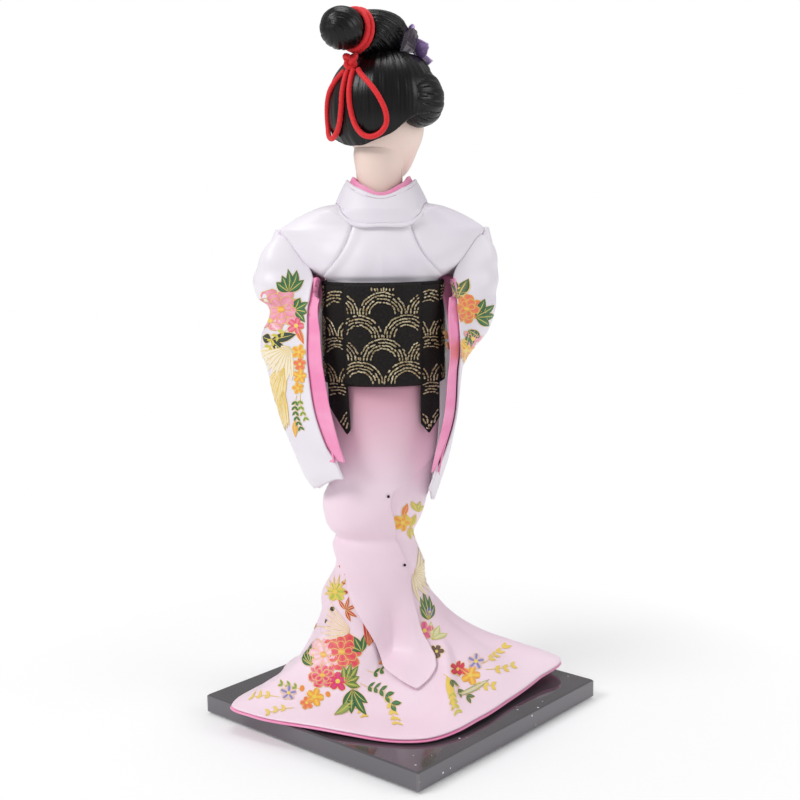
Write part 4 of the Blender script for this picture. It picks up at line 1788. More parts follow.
def petal_point(number):
    """half width x side, length along, and a cup that rises outwards and falls to the sides."""
    around_axis = turn_matrix("Z", number / PETALS * 2 * math.pi) @ turn_matrix("X", PETAL_RISE)

    def surface(u, v):
        u, v = np.broadcast_arrays(np.asarray(u, float), np.asarray(v, float))
        side = mix(-1, 1, u)
        notch = 0.35 * hump(side, 0, 0.35) * ease(v, 0.8, 1)
        half = PETAL_HALF * np.sin(math.pi * mix(0.16, 0.93, v)) ** 0.7
        ripple = 0.16 * np.sin(7 * side + number) * v
        cup = PETAL_CUP * (v * v - side * side * v / 2) + PETAL_TWIST * side + ripple
        flat = points(half * side, PETAL_START + PETAL_LENGTH * v - notch, cup)
        return FLOWER_AT + flat @ (TO_FLOWER @ around_axis).T
    return surface


for number in range(PETALS):
    name = f"petal_{number + 1}"
    built = cloth(petal_point(number), 22, 26, PETAL_THICK, roll=0.5)
    flat = (2 * PETAL_HALF * mm, PETAL_LENGTH * mm)
    piece(
        name, into_mesh(name, "head", *built, flat=flat), "head", petal_satin,
        (f"flower_petal_{number + 1}",)
    )


def core_point(u, v):
    """A little ball with the dimples of tied threads."""
    angle, polar = np.asarray(u, float) * 2 * math.pi, np.asarray(v, float) * math.pi
    radius = CORE * (0.93 + 0.07 * np.cos(8 * angle) * np.sin(7 * polar))
    ball = points(
        radius * np.sin(polar) * np.cos(angle), radius * np.sin(polar) * np.sin(angle),
        CORE / 2 + radius * np.cos(polar),
    )
    return FLOWER_AT + ball @ TO_FLOWER.T


core_mesh = into_mesh("flower_heart", "head", *closed_form(core_point, 40, 28), flat=(0.008, 0.004))
piece("flower_heart", core_mesh, "head", petal_satin, ("flower_core",))

# %% Ribbon
RIBBON_THICK, RIBBON_HIGH, RIBBON_DROP, RIBBON_BACK, RIBBON_LENGTH = 0.4, 9.0, 8.2, 2.0, 8.5
RIBBON_ACROSS, RIBBON_LEAN = 11.2, 3.4


def ribbon_point(u, v):
    """A strip that rises in a rounded arch and leans outwards, with fine pleats."""
    u, v = np.broadcast_arrays(np.asarray(u, float), np.asarray(v, float))
    arch = np.sin(math.pi * mix(0.25, 0.75, u))
    pleat = 0.22 * np.sin(22 * u + 2 * v)
    return points(
        -RIBBON_ACROSS - RIBBON_LEAN * arch * (1 - v) + pleat, HAIR_AT[1] + RIBBON_BACK - RIBBON_LENGTH * u,
        KNOT_HIGH - RIBBON_DROP + RIBBON_HIGH * (1 - v) * arch,
    )


ribbon_mesh = into_mesh(
    "sheer_bow", "head", *cloth(ribbon_point, 60, 40, RIBBON_THICK, roll=0.5),
    flat=(RIBBON_LENGTH * mm, RIBBON_HIGH * mm),
)
piece("sheer_bow", ribbon_mesh, "head", sheer_ribbon, ("hair_ribbon",))

# %% [markdown]
# ## Gold waves on the sash
# The sash is woven with the old pattern of overlapping waves: rows of half rings, each row
# shifted by half a ring and hiding the feet of the one above. Gold thread lies on the cloth in
# short floats, so each ring is a row of little roof-shaped stitches. They are laid out flat, in
# millimetres across and up, and then mapped onto the cloth.

# %% Wave pattern, laid out flat
WAVE_RADIUS, WAVE_ROW, RINGS = 9.4, 9.6, (9.0, 7.7, 6.4, 5.1)
STITCH_PITCH, STITCH_LONG, STITCH_WIDE, STITCH_HIGH = 1.3, 1.4, 0.74, 0.34
LONG_RANGE, WIDE_RANGE, SCATTER, LOST, RING_CLEAR = (0.75, 1.15), (0.75, 1.2), 0.12, 0.06, 0.2
chance = np.random.default_rng(11)


def wave_stitches(low, high, first_row):
    """Middles (across, up) and headings of all stitches over a flat area. A ring's stitch is kept
    if it lies outside the rings of the row below, whose middles are half a ring to the side."""
    spots, headings = [], []
    for k in range(math.floor(low[1] / WAVE_ROW) - 1, math.ceil(high[1] / WAVE_ROW) + 1):
        span = np.arange(math.floor(low[0] / WAVE_RADIUS / 2) - 1, math.ceil(high[0] / WAVE_RADIUS / 2) + 2)
        middles = np.stack(
            [2 * WAVE_RADIUS * (span + 0.5 * ((k + first_row) % 2)), 0 * span + WAVE_ROW * k], -1
        )
        below = middles - np.array([WAVE_RADIUS, WAVE_ROW])
        for radius in RINGS:
            count = max(round(math.pi * radius / STITCH_PITCH), 2)
            angle = (np.arange(count) + 0.5) / count * math.pi
            ring = (middles[:, None] + radius * np.stack([np.cos(angle), np.sin(angle)], -1)).reshape(-1, 2)
            gap = np.linalg.norm(ring[:, None] - below[None], axis=-1).min(axis=1)
            keep = (gap > WAVE_RADIUS + RING_CLEAR) & (ring > low).all(axis=1) & (ring < high).all(axis=1)
            keep &= chance.random(len(ring)) > LOST
            spots.append(ring[keep])
            headings.append(np.tile(angle + math.pi / 2, len(middles))[keep])
    return np.concatenate(spots), np.concatenate(headings)


def stitched(surface, spots, headings):
    """A roof over each spot: four feet just off the cloth and a ridge above. surface takes the
    flat place and a height over the cloth."""
    count = len(spots)
    long = STITCH_LONG * chance.uniform(*LONG_RANGE, count)[:, None] / 2
    wide = STITCH_WIDE * chance.uniform(*WIDE_RANGE, count)[:, None] / 2
    headings = headings + chance.normal(0, SCATTER, count)
    spots = spots + chance.normal(0, SCATTER, (count, 2))
    along_way = np.stack([np.cos(headings), np.sin(headings)], -1) * long
    side_way = np.stack([-np.sin(headings), np.cos(headings)], -1) * wide
    flat = np.stack([
        spots - along_way - side_way * 0.7, spots + along_way - side_way * 0.7,
        spots + along_way + side_way * 0.7, spots - along_way + side_way * 0.7, spots - along_way * 0.55,
        spots + along_way * 0.55, spots - side_way, spots + side_way,
    ], 1)
    over = np.array([0.04, 0.04, 0.04, 0.04, 0.9, 0.9, 0.12, 0.12]) * STITCH_HIGH + 0.02
    vertices = surface(flat[..., 0], flat[..., 1], np.broadcast_to(over, flat.shape[:2])).reshape(-1, 3)
    cell = np.arange(count)[:, None] * 8
    triangles = np.array([
        [0, 6, 4], [6, 5, 4], [6, 1, 5], [1, 2, 5], [2, 7, 5], [7, 4, 5], [7, 3, 4], [3, 0, 4],
        [0, 3, 6], [3, 7, 6], [7, 2, 6], [2, 1, 6],
    ])
    return vertices, [(cell[:, :, None] + triangles[None]).reshape(-1, 3)], []


def over_cloth(surface, thickness, place_of):
    """A place laid flat, and a height over the cloth, to a point: the cloth's outer side is
    against its normal."""
    def at(a, b, high):
        u, v = place_of(a, b)
        return surface(u, v) - normals_of(surface, u, v, True) * (thickness / 2 + high)[..., None]
    return at


# %% Stitches on the panel, the tails and the band
def on_panel(a, b):
    tall = WAIST_HIGH - WAIST_LOW - 2 * PANEL_MARGIN
    return (PANEL_HALF - a) / (2 * PANEL_HALF), (WAIST_HIGH - PANEL_MARGIN - b) / tall


def on_tail(side):
    """Across the tail and down it, undoing its slant."""
    def place(a, b):
        v = (TAIL_HIGH - b) / (TAIL_HIGH - TAIL_LOW)
        for _ in range(4):
            across = (np.abs(a) - mix(*TAIL_INNER[side], ease(v, 0.5, 1))) / mix(*TAIL_WIDE[side], v)
            v = (TAIL_HIGH - b) / (TAIL_HIGH - tail_end(side, np.clip(across, 0, 1)))
        return (1 - across if side > 0 else across), v
    return place


def on_waist(a, b):
    """Round the band by the length of its ellipse, summed in small steps."""
    angle = np.linspace(0, 2 * math.pi, 721)
    path = np.stack([(BAND_HALF[0] + 0.8) * np.cos(angle), (BAND_HALF[1] + 0.8) * np.sin(angle)], -1)
    length = np.concatenate([[0], np.cumsum(np.linalg.norm(np.diff(path, axis=0), axis=1))])
    return np.interp(a, length, angle) / (2 * math.pi), (WAIST_HIGH - b) / (WAIST_HIGH - WAIST_LOW)


STITCH_EDGE = 0.9
gold_parts = []
spots, headings = wave_stitches(
    (-PANEL_HALF + STITCH_EDGE, WAIST_LOW + PANEL_MARGIN + STITCH_EDGE),
    (PANEL_HALF - STITCH_EDGE, WAIST_HIGH - PANEL_MARGIN - STITCH_EDGE), 0,
)
gold_parts.append(stitched(over_cloth(sash_panel_point, PANEL_THICK, on_panel), spots, headings))
for side in (1, -1):
    edges = sorted(
        (side * (TAIL_INNER[side][1] - 1), side * (TAIL_INNER[side][0] + TAIL_WIDE[side][1] + 1))
    )
    spots, headings = wave_stitches((edges[0], TAIL_LOW - 1), (edges[1], TAIL_HIGH - STITCH_EDGE), 0)
    u, v = on_tail(side)(*spots.T)
    inside = (np.abs(u - 0.5) < 0.42) & (v > 0.012) & (v < 0.985)
    gold_parts.append(
        stitched(over_cloth(tail_point(side), TAIL_THICK, on_tail(side)), spots[inside], headings[inside])
    )
BAND_ROUND, BAND_BARE = 147.0, 0.36
spots, headings = wave_stitches(
    (0.5, WAIST_LOW + STITCH_EDGE), (BAND_ROUND - 0.5, WAIST_HIGH - STITCH_EDGE), 1
)
u, _ = on_waist(*spots.T)
bare = np.sin(u * 2 * math.pi) < BAND_BARE
gold_parts.append(stitched(over_cloth(band_point, BAND_THICK, on_waist), spots[bare], headings[bare]))

gold_mesh = into_mesh("sash_gold", "figure", *joined(*gold_parts)[:2])
piece("sash_gold", gold_mesh, "figure", gold)

# %% [markdown]
# ## Printed flowers
# The satin is printed before it is sewn: peonies, small blossoms, leaves and long bird feathers,
# each with a fine gold outline. A printed shape is a thin leaf with fourteen corners, laid just
# over the cloth; a gold one, a little larger, lies under each coloured one. Motifs are arranged
# as they look to the camera, so a place in the picture is looked up on the cloth first, and the
# slopes of the cloth there say how far to go along u and v for a step across or up the picture.

# %% Look up a place on the cloth
FOCAL, PICTURE_HALF, CORNERS, SEEN_GRIDS = 1261.0, 400.0, 14, {}
NEAR_WEIGHT, SEEN_WITHIN, BARRED = 0.25, 4, 1000
COLOUR = {
    "gold": srgb(238, 208, 104), "cream": srgb(250, 238, 214), "yellow": srgb(246, 208, 74),
    "orange": srgb(240, 142, 58), "coral": srgb(238, 108, 92), "red": srgb(228, 34, 70),
    "crimson": srgb(188, 34, 64), "rose": srgb(240, 132, 160), "blush": srgb(252, 214, 222),
    "pink": srgb(246, 170, 192), "magenta": srgb(220, 60, 130), "green": srgb(52, 134, 62),
    "deep": srgb(12, 66, 34), "lime": srgb(166, 190, 70), "blue": srgb(88, 104, 178),
    "black": srgb(28, 26, 28), "sage": srgb(120, 140, 96), "brown": srgb(120, 78, 40),
}


def seen(p):
    """Where the camera sees points of the figure, and how far off they are."""
    off = in_figure(p) - np.array(CAMERA_AT)
    deep = off @ ahead
    across, rise = FOCAL * (off @ right) / deep, FOCAL * (off @ up) / deep
    return np.stack([PICTURE_HALF + across, PICTURE_HALF - rise], -1), deep


def slopes_seen(surface, u, v, step=1e-4):
    """How a step along u and along v moves a point in the picture: two by two."""
    d_u = seen(surface(u + step, v))[0] - seen(surface(u - step, v))[0]
    d_v = seen(surface(u, v + step))[0] - seen(surface(u, v - step))[0]
    return np.stack([d_u, d_v], -1) / (2 * step)


def seen_grid(surface):
    """A grid over a cloth and where the camera sees it, worked out once for each cloth."""
    if surface not in SEEN_GRIDS:
        u, v = np.meshgrid(np.arange(480) / 480, np.linspace(0.01, 0.995, 240))
        SEEN_GRIDS[surface] = (u, v, *seen(surface(u, v)))
    return SEEN_GRIDS[surface]


def look_up(surface, x, y):
    """(u, v) of the nearest cloth that is seen at a place: the best point of a grid, then three
    corrections by the slopes."""
    u, v, place, deep = seen_grid(surface)
    off = np.linalg.norm(place - np.array([x, y]), axis=-1)
    best = np.argmin(off + NEAR_WEIGHT * (deep - deep.min()) + np.where(off > SEEN_WITHIN, BARRED, 0))
    u, v = u.ravel()[best], v.ravel()[best]
    for _ in range(3):
        place, _ = seen(surface(np.array(u), np.array(v)))
        back = np.linalg.pinv(slopes_seen(surface, np.array(u), np.array(v)), rcond=0.08)
        step = back @ (np.array([x, y]) - place)
        u, v = u + step[0], np.clip(v + step[1], 0.005, 0.995)
    return u, v


# %% Shapes of the print
def turned_by(flat, degrees):
    c, s = math.cos(math.radians(degrees)), math.sin(math.radians(degrees))
    return flat @ np.array([[c, s], [-s, c]])


def leaf_shape(length, width, point=1.0):
    """A leaf along +x from the origin; half width = sin(pi t) to a power."""
    t = np.concatenate([np.linspace(0, 1, CORNERS // 2 + 1), np.linspace(1, 0, CORNERS // 2 + 1)[1:-1]])
    side = np.concatenate([np.ones(CORNERS // 2 + 1), -np.ones(CORNERS // 2 - 1)])
    return np.stack([length * t, side * width / 2 * np.sin(math.pi * t**0.9) ** point], -1)


def petal_shape(length, width):
    """A petal along +x: round and a little notched at its end."""
    angle = np.linspace(0, 2 * math.pi, CORNERS, endpoint=False)
    swell = 1 - 0.16 * np.exp(-(angle**2) / 0.05) - 0.16 * np.exp(-((angle - 2 * math.pi) ** 2) / 0.05)
    rise = width / 2 * np.sin(angle) * (0.75 + 0.25 * np.cos(angle))
    return np.stack([length * (0.5 + 0.5 * np.cos(angle) * swell), rise], -1)


def disc_shape(radius):
    angle = np.linspace(0, 2 * math.pi, CORNERS, endpoint=False)
    return radius * np.stack([np.cos(angle), np.sin(angle)], -1)


prints = []


def put(shape, at, degrees, inner, outer, layer, rim=0.42):
    """Adds a shape to the current motif, with a gold one under it that is larger by rim; lengths
    are picture points, and y is up."""
    turned = turned_by(shape, degrees) + np.asarray(at, float)
    if rim:
        middle = turned.mean(axis=0)
        grow = 1 + rim / np.maximum(np.linalg.norm(turned - middle, axis=-1, keepdims=True), 0.6)
        prints[-1].append((middle + (turned - middle) * grow, COLOUR["gold"], COLOUR["gold"], layer))
    prints[-1].append((turned, COLOUR[inner], COLOUR[outer], layer + 1))


def peony(radius, inner, outer, turn=0.0):
    """Three wreaths of petals, from the outside in, round a yellow heart."""
    for wreath, (count, share, wide) in enumerate(((7, 1.0, 0.78), (6, 0.72, 0.6), (4, 0.46, 0.42))):
        for k in range(count):
            angle = turn + 360 * (k + 0.5 * wreath) / count
            start = turned_by(np.array([[radius * 0.1, 0]]), angle)[0]
            put(petal_shape(radius * share * 0.9, radius * wide), start, angle, inner, outer, 2 * wreath)
    put(disc_shape(radius * 0.16), (0, 0), 0, "yellow", "orange", 7, 0.2)


def bloom(radius, inner, outer, petals=5, turn=0.0):
    for k in range(petals):
        put(petal_shape(radius, radius * 0.85), (0, 0), turn + 360 * k / petals, inner, outer, 1, 0.3)
    put(disc_shape(radius * 0.24), (0, 0), 0, "yellow", "gold", 4, 0)


def leaf(at, degrees, length, width, inner="green", outer="deep"):
    """A leaf with a gold rib."""
    put(leaf_shape(length, width), at, degrees, inner, outer, 1, 0.34)
    put(leaf_shape(length * 0.86, 0.42, 0.5), at, degrees, "gold", "gold", 3, 0)


def fan(angles, lengths, width, inner="green", outer="deep"):
    """Leaves from one point, each at its own angle."""
    for angle, length in zip(*np.broadcast_arrays(angles, lengths)):
        leaf((0, 0), angle, length, width, inner, outer)


def spray(degrees, length, count, inner, outer, leaf_long=4.0, leaf_wide=1.8, bend=18.0):
    """A bent stem with pairs of small leaves."""
    t = (np.arange(count) + 0.6) / count
    heading = np.radians(degrees + bend * (t - 0.5))
    stem = np.stack([np.cos(heading), np.sin(heading)], -1) * (length * t)[:, None]
    for k in range(count):
        way = math.degrees(heading[k])
        put(leaf_shape(length / count * 1.3, 0.5, 0.4), stem[k], way + 180, "gold", "gold", 0, 0)
        for side in (38, -38):
            put(leaf_shape(leaf_long, leaf_wide), stem[k], way + side, inner, outer, 1, 0.25)


def feathers(degrees, sweep, length, count, inner, outer, bend=0.0):
    """Long feathers in a fan, each with a gold shaft."""
    for k in range(count):
        angle = degrees + sweep * (k / max(count - 1, 1) - 0.5)
        long = length * (1 - 0.28 * k / count)
        start = turned_by(np.array([[1.5, 0]]), angle)[0]
        put(leaf_shape(long, length * 0.13, 0.6), start, angle + bend * k, inner, outer, 1 + k % 2, 0.3)
        put(leaf_shape(long * 0.9, 0.36, 0.4), start, angle + bend * k, "gold", "gold", 4, 0)


def dots(places, radius, colour):
    for at in places:
        put(disc_shape(radius), at, 0, colour, colour, 1, 0.2)


PRINT_LOW, PRINT_STEP, PRINT_GROW = 0.12, 0.035, 1.52
SPINE = CORNERS // 2 - 1


def shape_triangles():
    """Corner numbers of the top of a shape: the outline is numbered from its tip along one side to
    its foot and back along the other, and the spine follows it."""
    i = np.arange(1, SPINE)
    middle, after = CORNERS + i - 1, CORNERS + i
    ends = np.array([
        [0, 1, CORNERS], [0, CORNERS, CORNERS - 1],
        [SPINE, SPINE + 1, CORNERS + SPINE - 1], [SPINE + 1, SPINE + 2, CORNERS + SPINE - 1],
    ])
    return np.concatenate([
        ends, np.stack([i, i + 1, after], -1), np.stack([i, after, middle], -1),
        np.stack([middle, after, CORNERS - i - 1], -1),
        np.stack([middle, CORNERS - i - 1, CORNERS - i], -1),
    ])


def printed(surface, thickness, x, y, motif):
    """Maps one motif's shapes onto the cloth. A shape is its outline and a spine of middles between
    its two sides, once on top and once just under, with triangles from the spine to the sides."""
    u, v = look_up(surface, x, y)
    back = np.linalg.pinv(slopes_seen(surface, np.array(u), np.array(v)), rcond=0.12)
    outline = np.array([shape for shape, *_ in motif]) * PRINT_GROW
    spine = (outline[:, 1:SPINE + 1] + outline[:, :CORNERS - SPINE - 1:-1]) / 2
    flat = np.concatenate([outline, spine, spine], axis=1)
    step = (flat * np.array([1, -1])) @ back.T
    layer = np.array([level for *_, level in motif])[:, None] * PRINT_STEP + PRINT_LOW
    high = np.repeat(layer, CORNERS + 2 * SPINE, axis=1)
    high[:, CORNERS + SPINE:] -= PRINT_STEP / 2
    su, sv = u + step[..., 0], np.clip(v + step[..., 1], 0.004, 0.996)
    p = surface(su, sv) - normals_of(surface, su, sv, True) * (thickness / 2 + high)[..., None]
    top = shape_triangles()
    under = np.where(top >= CORNERS, top + SPINE, top)[:, ::-1]
    every = np.concatenate([top, under])
    faces = (np.arange(len(motif))[:, None, None] * (CORNERS + 2 * SPINE) + every[None]).reshape(-1, 3)
    inner, outer = (np.array([shape[k] for shape in motif])[:, None, None] for k in (1, 2))
    is_middle = (every >= CORNERS)[None, ..., None]
    paint = np.where(is_middle, inner, outer) + np.zeros((len(motif), len(every), 3, 4))
    return p.reshape(-1, 3), faces, paint.reshape(-1, 4)


def print_piece(name, surface, thickness, layout):
    """Draws every motif of a layout and joins them. A row is a place in the picture, x and y, and
    what is drawn there: functions, each with its values."""
    parts = []
    for x, y, *strokes in layout:
        prints.append([])
        for draw, *values in strokes:
            draw(*values)
        p, f, paint = printed(surface, thickness, x, y, prints[-1])
        parts.append((p, [f], [paint]))
    vertices, faces, paints = joined(*parts)
    faces, paints = np.concatenate(faces), np.concatenate(paints)
    mesh = into_mesh(name, "figure", vertices, [faces], [vertices[faces][..., :2] * mm], paints)
    mesh.polygons.foreach_set("use_smooth", np.zeros(len(faces), bool))
    return piece(name, mesh, "figure", print_satin)


# %% [markdown]
# The arrangement on the train: a bouquet of peonies to her left with leaves round it, small
# blossoms along the hem, and a second, looser spray to her right. Each sleeve carries a peony;
# her left one has a long feathered wing below it, and her right one small blossoms.

# %% Print on the skirt
skirt_layout = [
    (324, 655, (peony, 12, "blush", "pink", 20)),
    (342, 652, (peony, 13.5, "red", "coral", 5)),
    (323, 676, (peony, 9.5, "red", "rose", 40)),
    (338, 682, (bloom, 6.5, "magenta", "red", 5, 15)),
    (312, 666, (fan, (112, 98, 128, 84, 142), (19, 15, 14, 12, 9), 4.2)),
    (345, 684, (fan, (70, 48, 95, 25, -8), (14, 15, 12, 11, 10), 4.6, "lime", "deep")),
    (352, 690, (fan, (-70, -92, -112, -50), (22, 18, 14, 15), 5, "green", "deep")),
    (334, 716, (leaf, (0, 0), 28, 20, 5, "lime", "sage")),
    (315, 698, (bloom, 6, "yellow", "orange"), (dots, [(9, 2), (-9, 5)], 1.6, "orange")),
    (307, 704, (bloom, 4.4, "coral", "orange", 5, 30)),
    (289, 694, (bloom, 5.2, "blue", "blush", 5, 10)),
    (275, 697, (spray, 176, 17, 3, "yellow", "gold", 3.6, 1.7)),
    (290, 709, (spray, 188, 15, 3, "yellow", "gold", 3.4, 1.6)),
    (300, 690, (spray, 160, 12, 3, "sage", "lime", 3.2, 1.5)),
    (370, 672, (spray, -12, 18, 4, "green", "deep", 5, 2.4, 30)),
    (364, 686, (spray, -38, 26, 5, "green", "deep", 5.2, 2.4, -30)),
    (386, 694, (spray, -72, 20, 5, "yellow", "gold", 3.6, 1.6, -10)),
    (357, 690, (spray, -86, 22, 5, "yellow", "gold", 3.2, 1.5, 12)),
    (378, 664, (leaf, (0, 0), 12, 12, 4.6, "orange", "coral")),
    (322, 627, (spray, 172, 11, 3, "orange", "brown", 4, 1.9)),
    (336, 592, (bloom, 6.5, "lime", "yellow", 6), (feathers, 120, 150, 11, 6, "cream", "yellow")),
    (350, 590, (feathers, 35, 70, 12, 5, "cream", "yellow")),
    (346, 610, (fan, (75, 128, 20, -70, -35), 8.5, 2.2, "red", "crimson")),
    (344, 583, (dots, [(0, 0), (1, -6), (2, 6), (-3, 12)], 1.1, "crimson")),
    (333, 609, (dots, [(0, 0), (-5, -9)], 1.5, "black")),
    (352, 632, (feathers, 158, 60, 22, 7, "cream", "blush", 2)),
    (368, 648, (feathers, 78, 26, 25, 4, "crimson", "red", 2)),
    (362, 652, (fan, (118, 80, 150), 12, 4.6)),
    (340, 544, (leaf, (0, 0), -35, 13, 1.0, "gold", "gold")),
    (402, 522, (bloom, 6, "orange", "yellow"), (leaf, (0, 4), 70, 9, 3.4, "coral", "orange")),
    (410, 526, (fan, (60, 100, -60, -100), 9, 3, "lime", "yellow")),
    (416, 511, (fan, (70, 30, 110), 7, 2.8, "yellow", "lime")),
    (413, 538, (feathers, -68, 22, 17, 3, "black", "black")),
    (412, 572, (feathers, -25, 120, 21, 9, "cream", "cream", 1)),
    (428, 620, (fan, (96, 80, 112, 64, 128), (20, 17, 15, 12, 10), 4)),
    (424, 631, (bloom, 6.2, "magenta", "rose", 5, 20)),
    (429, 612, (bloom, 3, "blue", "blue", 5, 20)),
    (432, 640, (fan, (60, 95, 25), 11, 4, "cream", "lime")),
    (437, 652, (bloom, 4.6, "brown", "black"), (dots, [(-3, -7)], 1.6, "orange")),
    (430, 661, (spray, 168, 20, 5, "orange", "coral", 5, 2, -20)),
    (447, 677, (spray, -35, 15, 3, "sage", "deep", 4.6, 2.2), (leaf, (0, 0), -75, 17, 4, "yellow", "gold")),
    (457, 670, (bloom, 5, "red", "crimson", 5, 8)),
    (470, 676, (bloom, 6.5, "yellow", "orange"), (leaf, (0, 0), 150, 11, 4, "coral", "red")),
    (475.5, 662, (bloom, 5.6, "blue", "blush", 5, 12)),
    (486, 662, (spray, 42, 17, 4, "yellow", "gold", 4, 1.9)),
    (490, 670, (spray, 8, 16, 3, "yellow", "gold", 4, 1.9)),
    (472, 684, (spray, -14, 14, 3, "yellow", "gold", 3.8, 1.8)),
    (456, 694, (leaf, (0, 0), -4, 24, 4, "cream", "sage")),
    (452, 690, (spray, -82, 14, 4, "lime", "gold", 3.4, 1.5)),
]
print_piece("skirt_print", skirt_point, CLOTH, skirt_layout)

# %% Print on the sleeves
left_layout = [
    (282, 309, (peony, 14, "pink", "rose", 12), (dots, [(-6, 6)], 1.2, "cream")),
    (271, 321, (bloom, 7, "blush", "rose")),
    (289, 292, (fan, (62, 88, 36, 118, 146), (16, 15, 13, 12, 11), 5.5)),
    (295, 310, (fan, (24, -8, -42, 60), (12, 12, 12, 9), 5)),
    (297, 326, (bloom, 6, "rose", "red"), (leaf, (0, 0), -70, 13, 4, "red", "orange")),
    (288, 330, (spray, 214, 18, 4, "lime", "yellow", 4.2, 1.8)),
    (272, 340, (fan, (-48, 12, 165), (13, 16, 7), 6, "deep", "black")),
    (292, 346, (feathers, 222, 64, 29, 9, "cream", "cream", 1)),
    (286, 366, (feathers, 240, 40, 31, 7, "cream", "yellow", 1)),
    (284, 388, (feathers, 262, 22, 30, 5, "cream", "yellow")),
    (300, 352, (bloom, 5, "orange", "yellow")),
    (301, 364, (bloom, 4.4, "coral", "orange", 5, 20)),
    (301, 376, (bloom, 4.8, "yellow", "orange", 5, 9)),
    (299, 388, (bloom, 4, "orange", "yellow", 5, 30)),
    (297, 398, (spray, -94, 20, 6, "green", "deep", 3.6, 1.5)),
    (301, 397, (spray, -86, 15, 4, "green", "lime", 3.2, 1.4)),
    (296, 420, (leaf, (0, 0), -92, 11, 3.4, "yellow", "orange")),
]
right_layout = [
    (457, 299, (fan, (118, 96, 74), 14, 4, "sage", "deep")),
    (466, 309, (peony, 10, "coral", "orange", 24)),
    (475, 317, (fan, (58, 30, 2, -28), (14, 15, 15, 13), 5)),
    (468, 330, (fan, (-60, -96, -30), (13, 14, 10), 4.6)),
    (472, 338, (bloom, 6, "pink", "rose")),
    (464, 350, (bloom, 7.5, "yellow", "orange"), (leaf, (0, 0), -60, 14, 4, "orange", "yellow")),
    (454, 334, (bloom, 3.6, "yellow", "orange")),
    (453, 345, (bloom, 3.2, "orange", "coral")),
    (452.5, 356, (spray, -92, 12, 4, "cream", "yellow", 3.6, 1.5)),
    (452, 374, (bloom, 3.4, "coral", "yellow")),
    (451, 386, (spray, -94, 16, 5, "yellow", "gold", 3.4, 1.5)),
    (449, 406, (spray, -96, 12, 4, "brown", "sage", 3, 1.3)),
]
print_piece("sleeve_print_left", sleeve_facing(LEFT_SLEEVE), CLOTH, left_layout)
print_piece("sleeve_print_right", sleeve_facing(RIGHT_SLEEVE), CLOTH, right_layout)

# %% [markdown]
# Two dark pins hold the strip's edge. Only their heads show, each a small flattened ball.

# %% Pins
PIN_RADIUS, PIN_AWAY, PIN_SUNK, PIN_FLAT = 0.62, 0.35, 0.7, 0.75
for pin_name, x, y in (("upper", 389.5, 496), ("lower", 404, 565)):
    u, v = look_up(panel_point, x, y)
    u = min(max(u, 0.03), 0.97)
    u, v = np.array(u), np.array(v)
    spot = panel_point(u, v) - normals_of(panel_point, u, v) * (PIN_AWAY + PIN_RADIUS * PIN_SUNK)

    def pin_point(a, b):
        angle, polar = np.asarray(a, float) * 2 * math.pi, np.asarray(b, float) * math.pi
        ball = points(np.sin(polar) * np.cos(angle), np.sin(polar) * np.sin(angle), np.cos(polar))
        return spot + ball * PIN_RADIUS * np.array([1, PIN_FLAT, 1])

    pin = into_mesh(f"skirt_pin_{pin_name}", "figure", *closed_form(pin_point, 24, 16))
    piece(f"skirt_pin_{pin_name}", pin, "figure", pin_black)

# %% [markdown]
# ## Floor and light
# The photograph is a catalogue one: a pale floor that runs out into white, a big soft light from
# the left and above, and weaker ones that fill the shadows. The world is white where the camera
# sees it, straight or through something clear, and dimmer as a light.

# %% Floor
def white_floor():
    """Matt white near the doll, which takes its shadow, and further out a white that shines by
    itself, as an overexposed backdrop does: the blend goes with the distance from the middle."""
    material, tree, shader = start_finish("floor_white", 0.9)
    spot = read_object(tree)
    grain = noise_of(tree, spot, 900, 2.0)
    tree.links.new(
        blend_of(tree, grain, srgb(252, 252, 253), srgb(248, 248, 250)), shader.inputs["Base Color"]
    )
    raise_by(tree, shader, grain, 0.05, 0.0001)
    far = level_of(
        tree, node(tree, "ShaderNodeVectorMath", {0: spot}, operation="LENGTH").outputs["Value"], 0.055, 0.2
    )
    shining = node(tree, "ShaderNodeEmission", {"Color": (1, 1, 1, 1), "Strength": 1.0}).outputs[0]
    floor_look = node(tree, "ShaderNodeMixShader", {0: far, 1: shader.outputs[0], 2: shining}).outputs[0]
    output = next(n for n in tree.nodes if n.type == "OUTPUT_MATERIAL")
    tree.links.new(floor_look, output.inputs["Surface"])
    return material


FLOOR_HALF, FLOOR_LOW = 2.4, -0.0004
floor_mesh = bpy.data.meshes.new("floor")
floor_corners = [
    (x * FLOOR_HALF, y * FLOOR_HALF, FLOOR_LOW) for x, y in ((-1, -1), (1, -1), (1, 1), (-1, 1))
]
floor_mesh.from_pydata(floor_corners, [], [(0, 1, 2, 3)])
floor_mesh.materials.append(white_floor())
floor = bpy.data.objects.new("floor", floor_mesh)
bpy.context.scene.collection.objects.link(floor)


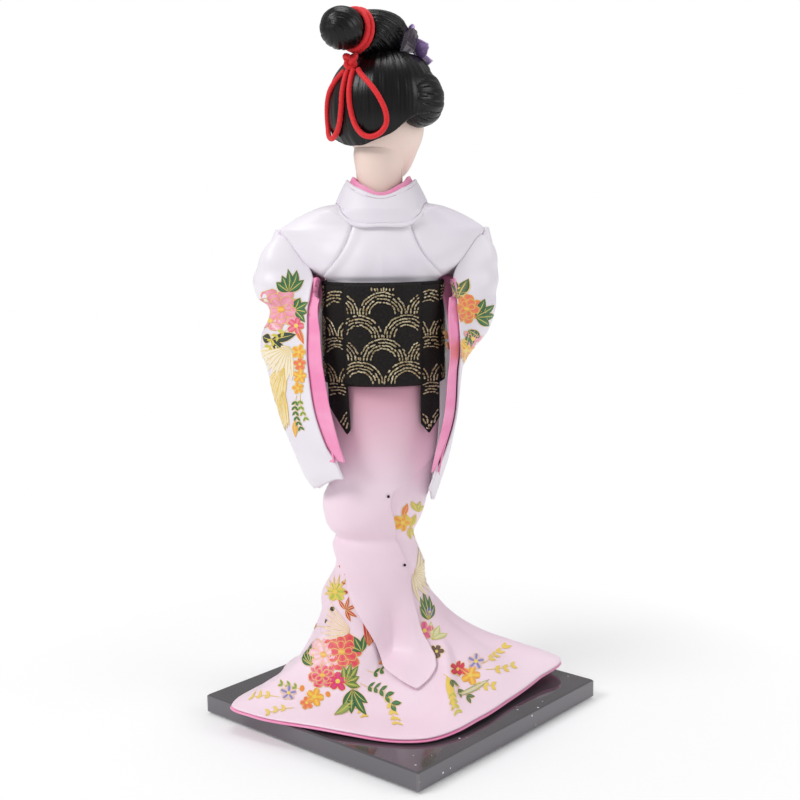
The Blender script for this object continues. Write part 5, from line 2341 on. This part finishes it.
# %% Lights
def area_light(name, at, aim, size, power):
    """A square soft box at a place, turned to face its aim."""
    data = bpy.data.lights.new(name, "AREA")
    data.shape, data.size, data.energy = "SQUARE", size, power
    lamp = bpy.data.objects.new(name, data)
    lamp.location = at
    lamp.rotation_euler = (Vector(aim) - Vector(at)).to_track_quat("-Z", "Y").to_euler()
    bpy.context.scene.collection.objects.link(lamp)
    return lamp


def from_camera(across, upwards, back):
    """A place given by the camera's own ways, from the doll's middle, in metres."""
    return Vector((0, 0, 0.15)) + Vector((right * across + up * upwards - ahead * back).tolist())


lights = [
    area_light("soft_left", from_camera(-0.85, 0.75, 0.6), (0, 0, 0.15), 0.5, 8.2),
    area_light("soft_right", from_camera(0.95, 0.45, 0.35), (0, 0, 0.13), 0.5, 2.6),
    area_light("top", from_camera(0.0, 1.25, 0.0), (0, 0, 0.1), 0.6, 4.6),
]


def white_world():
    """White where the camera looks at it, and a dim white light for everything else."""
    world = bpy.data.worlds.new("white_world")
    bpy.context.scene.world = world
    world.use_nodes = True
    tree = world.node_tree
    tree.nodes.clear()
    paths = node(tree, "ShaderNodeLightPath").outputs
    direct = math_of(tree, "MAXIMUM", paths["Is Camera Ray"], paths["Is Transmission Ray"])
    fill = node(tree, "ShaderNodeBackground", {"Color": (1, 1, 1, 1), "Strength": 0.4}).outputs[0]
    shown = node(tree, "ShaderNodeBackground", {"Color": (1, 1, 1, 1), "Strength": 1.0}).outputs[0]
    mixed = node(tree, "ShaderNodeMixShader", {0: direct, 1: fill, 2: shown}).outputs[0]
    tree.links.new(mixed, node(tree, "ShaderNodeOutputWorld").inputs[0])


white_world()
bpy.context.scene.view_settings.view_transform = "Standard"

# %% [markdown]
# ## Check and hand over
# Every cloth is declared with the flat size it would be cut to, and the size of what was made
# is written beside the size of the solid model.

# %% Sheets and sizes
NARROWEST = 0.0102
for made, width, length, area, held, rests in SHEETS:
    length = max(length, NARROWEST)
    print(f"{made.name}: {width * 1000:.0f} x {length * 1000:.0f} mm flat, {held}")

shown = [
    o for o in bpy.context.scene.objects if o.type == "MESH" and o.name != "floor" and not o.hide_render
]
spots = [o.matrix_world @ Vector(corner) for o in shown for corner in o.bound_box]
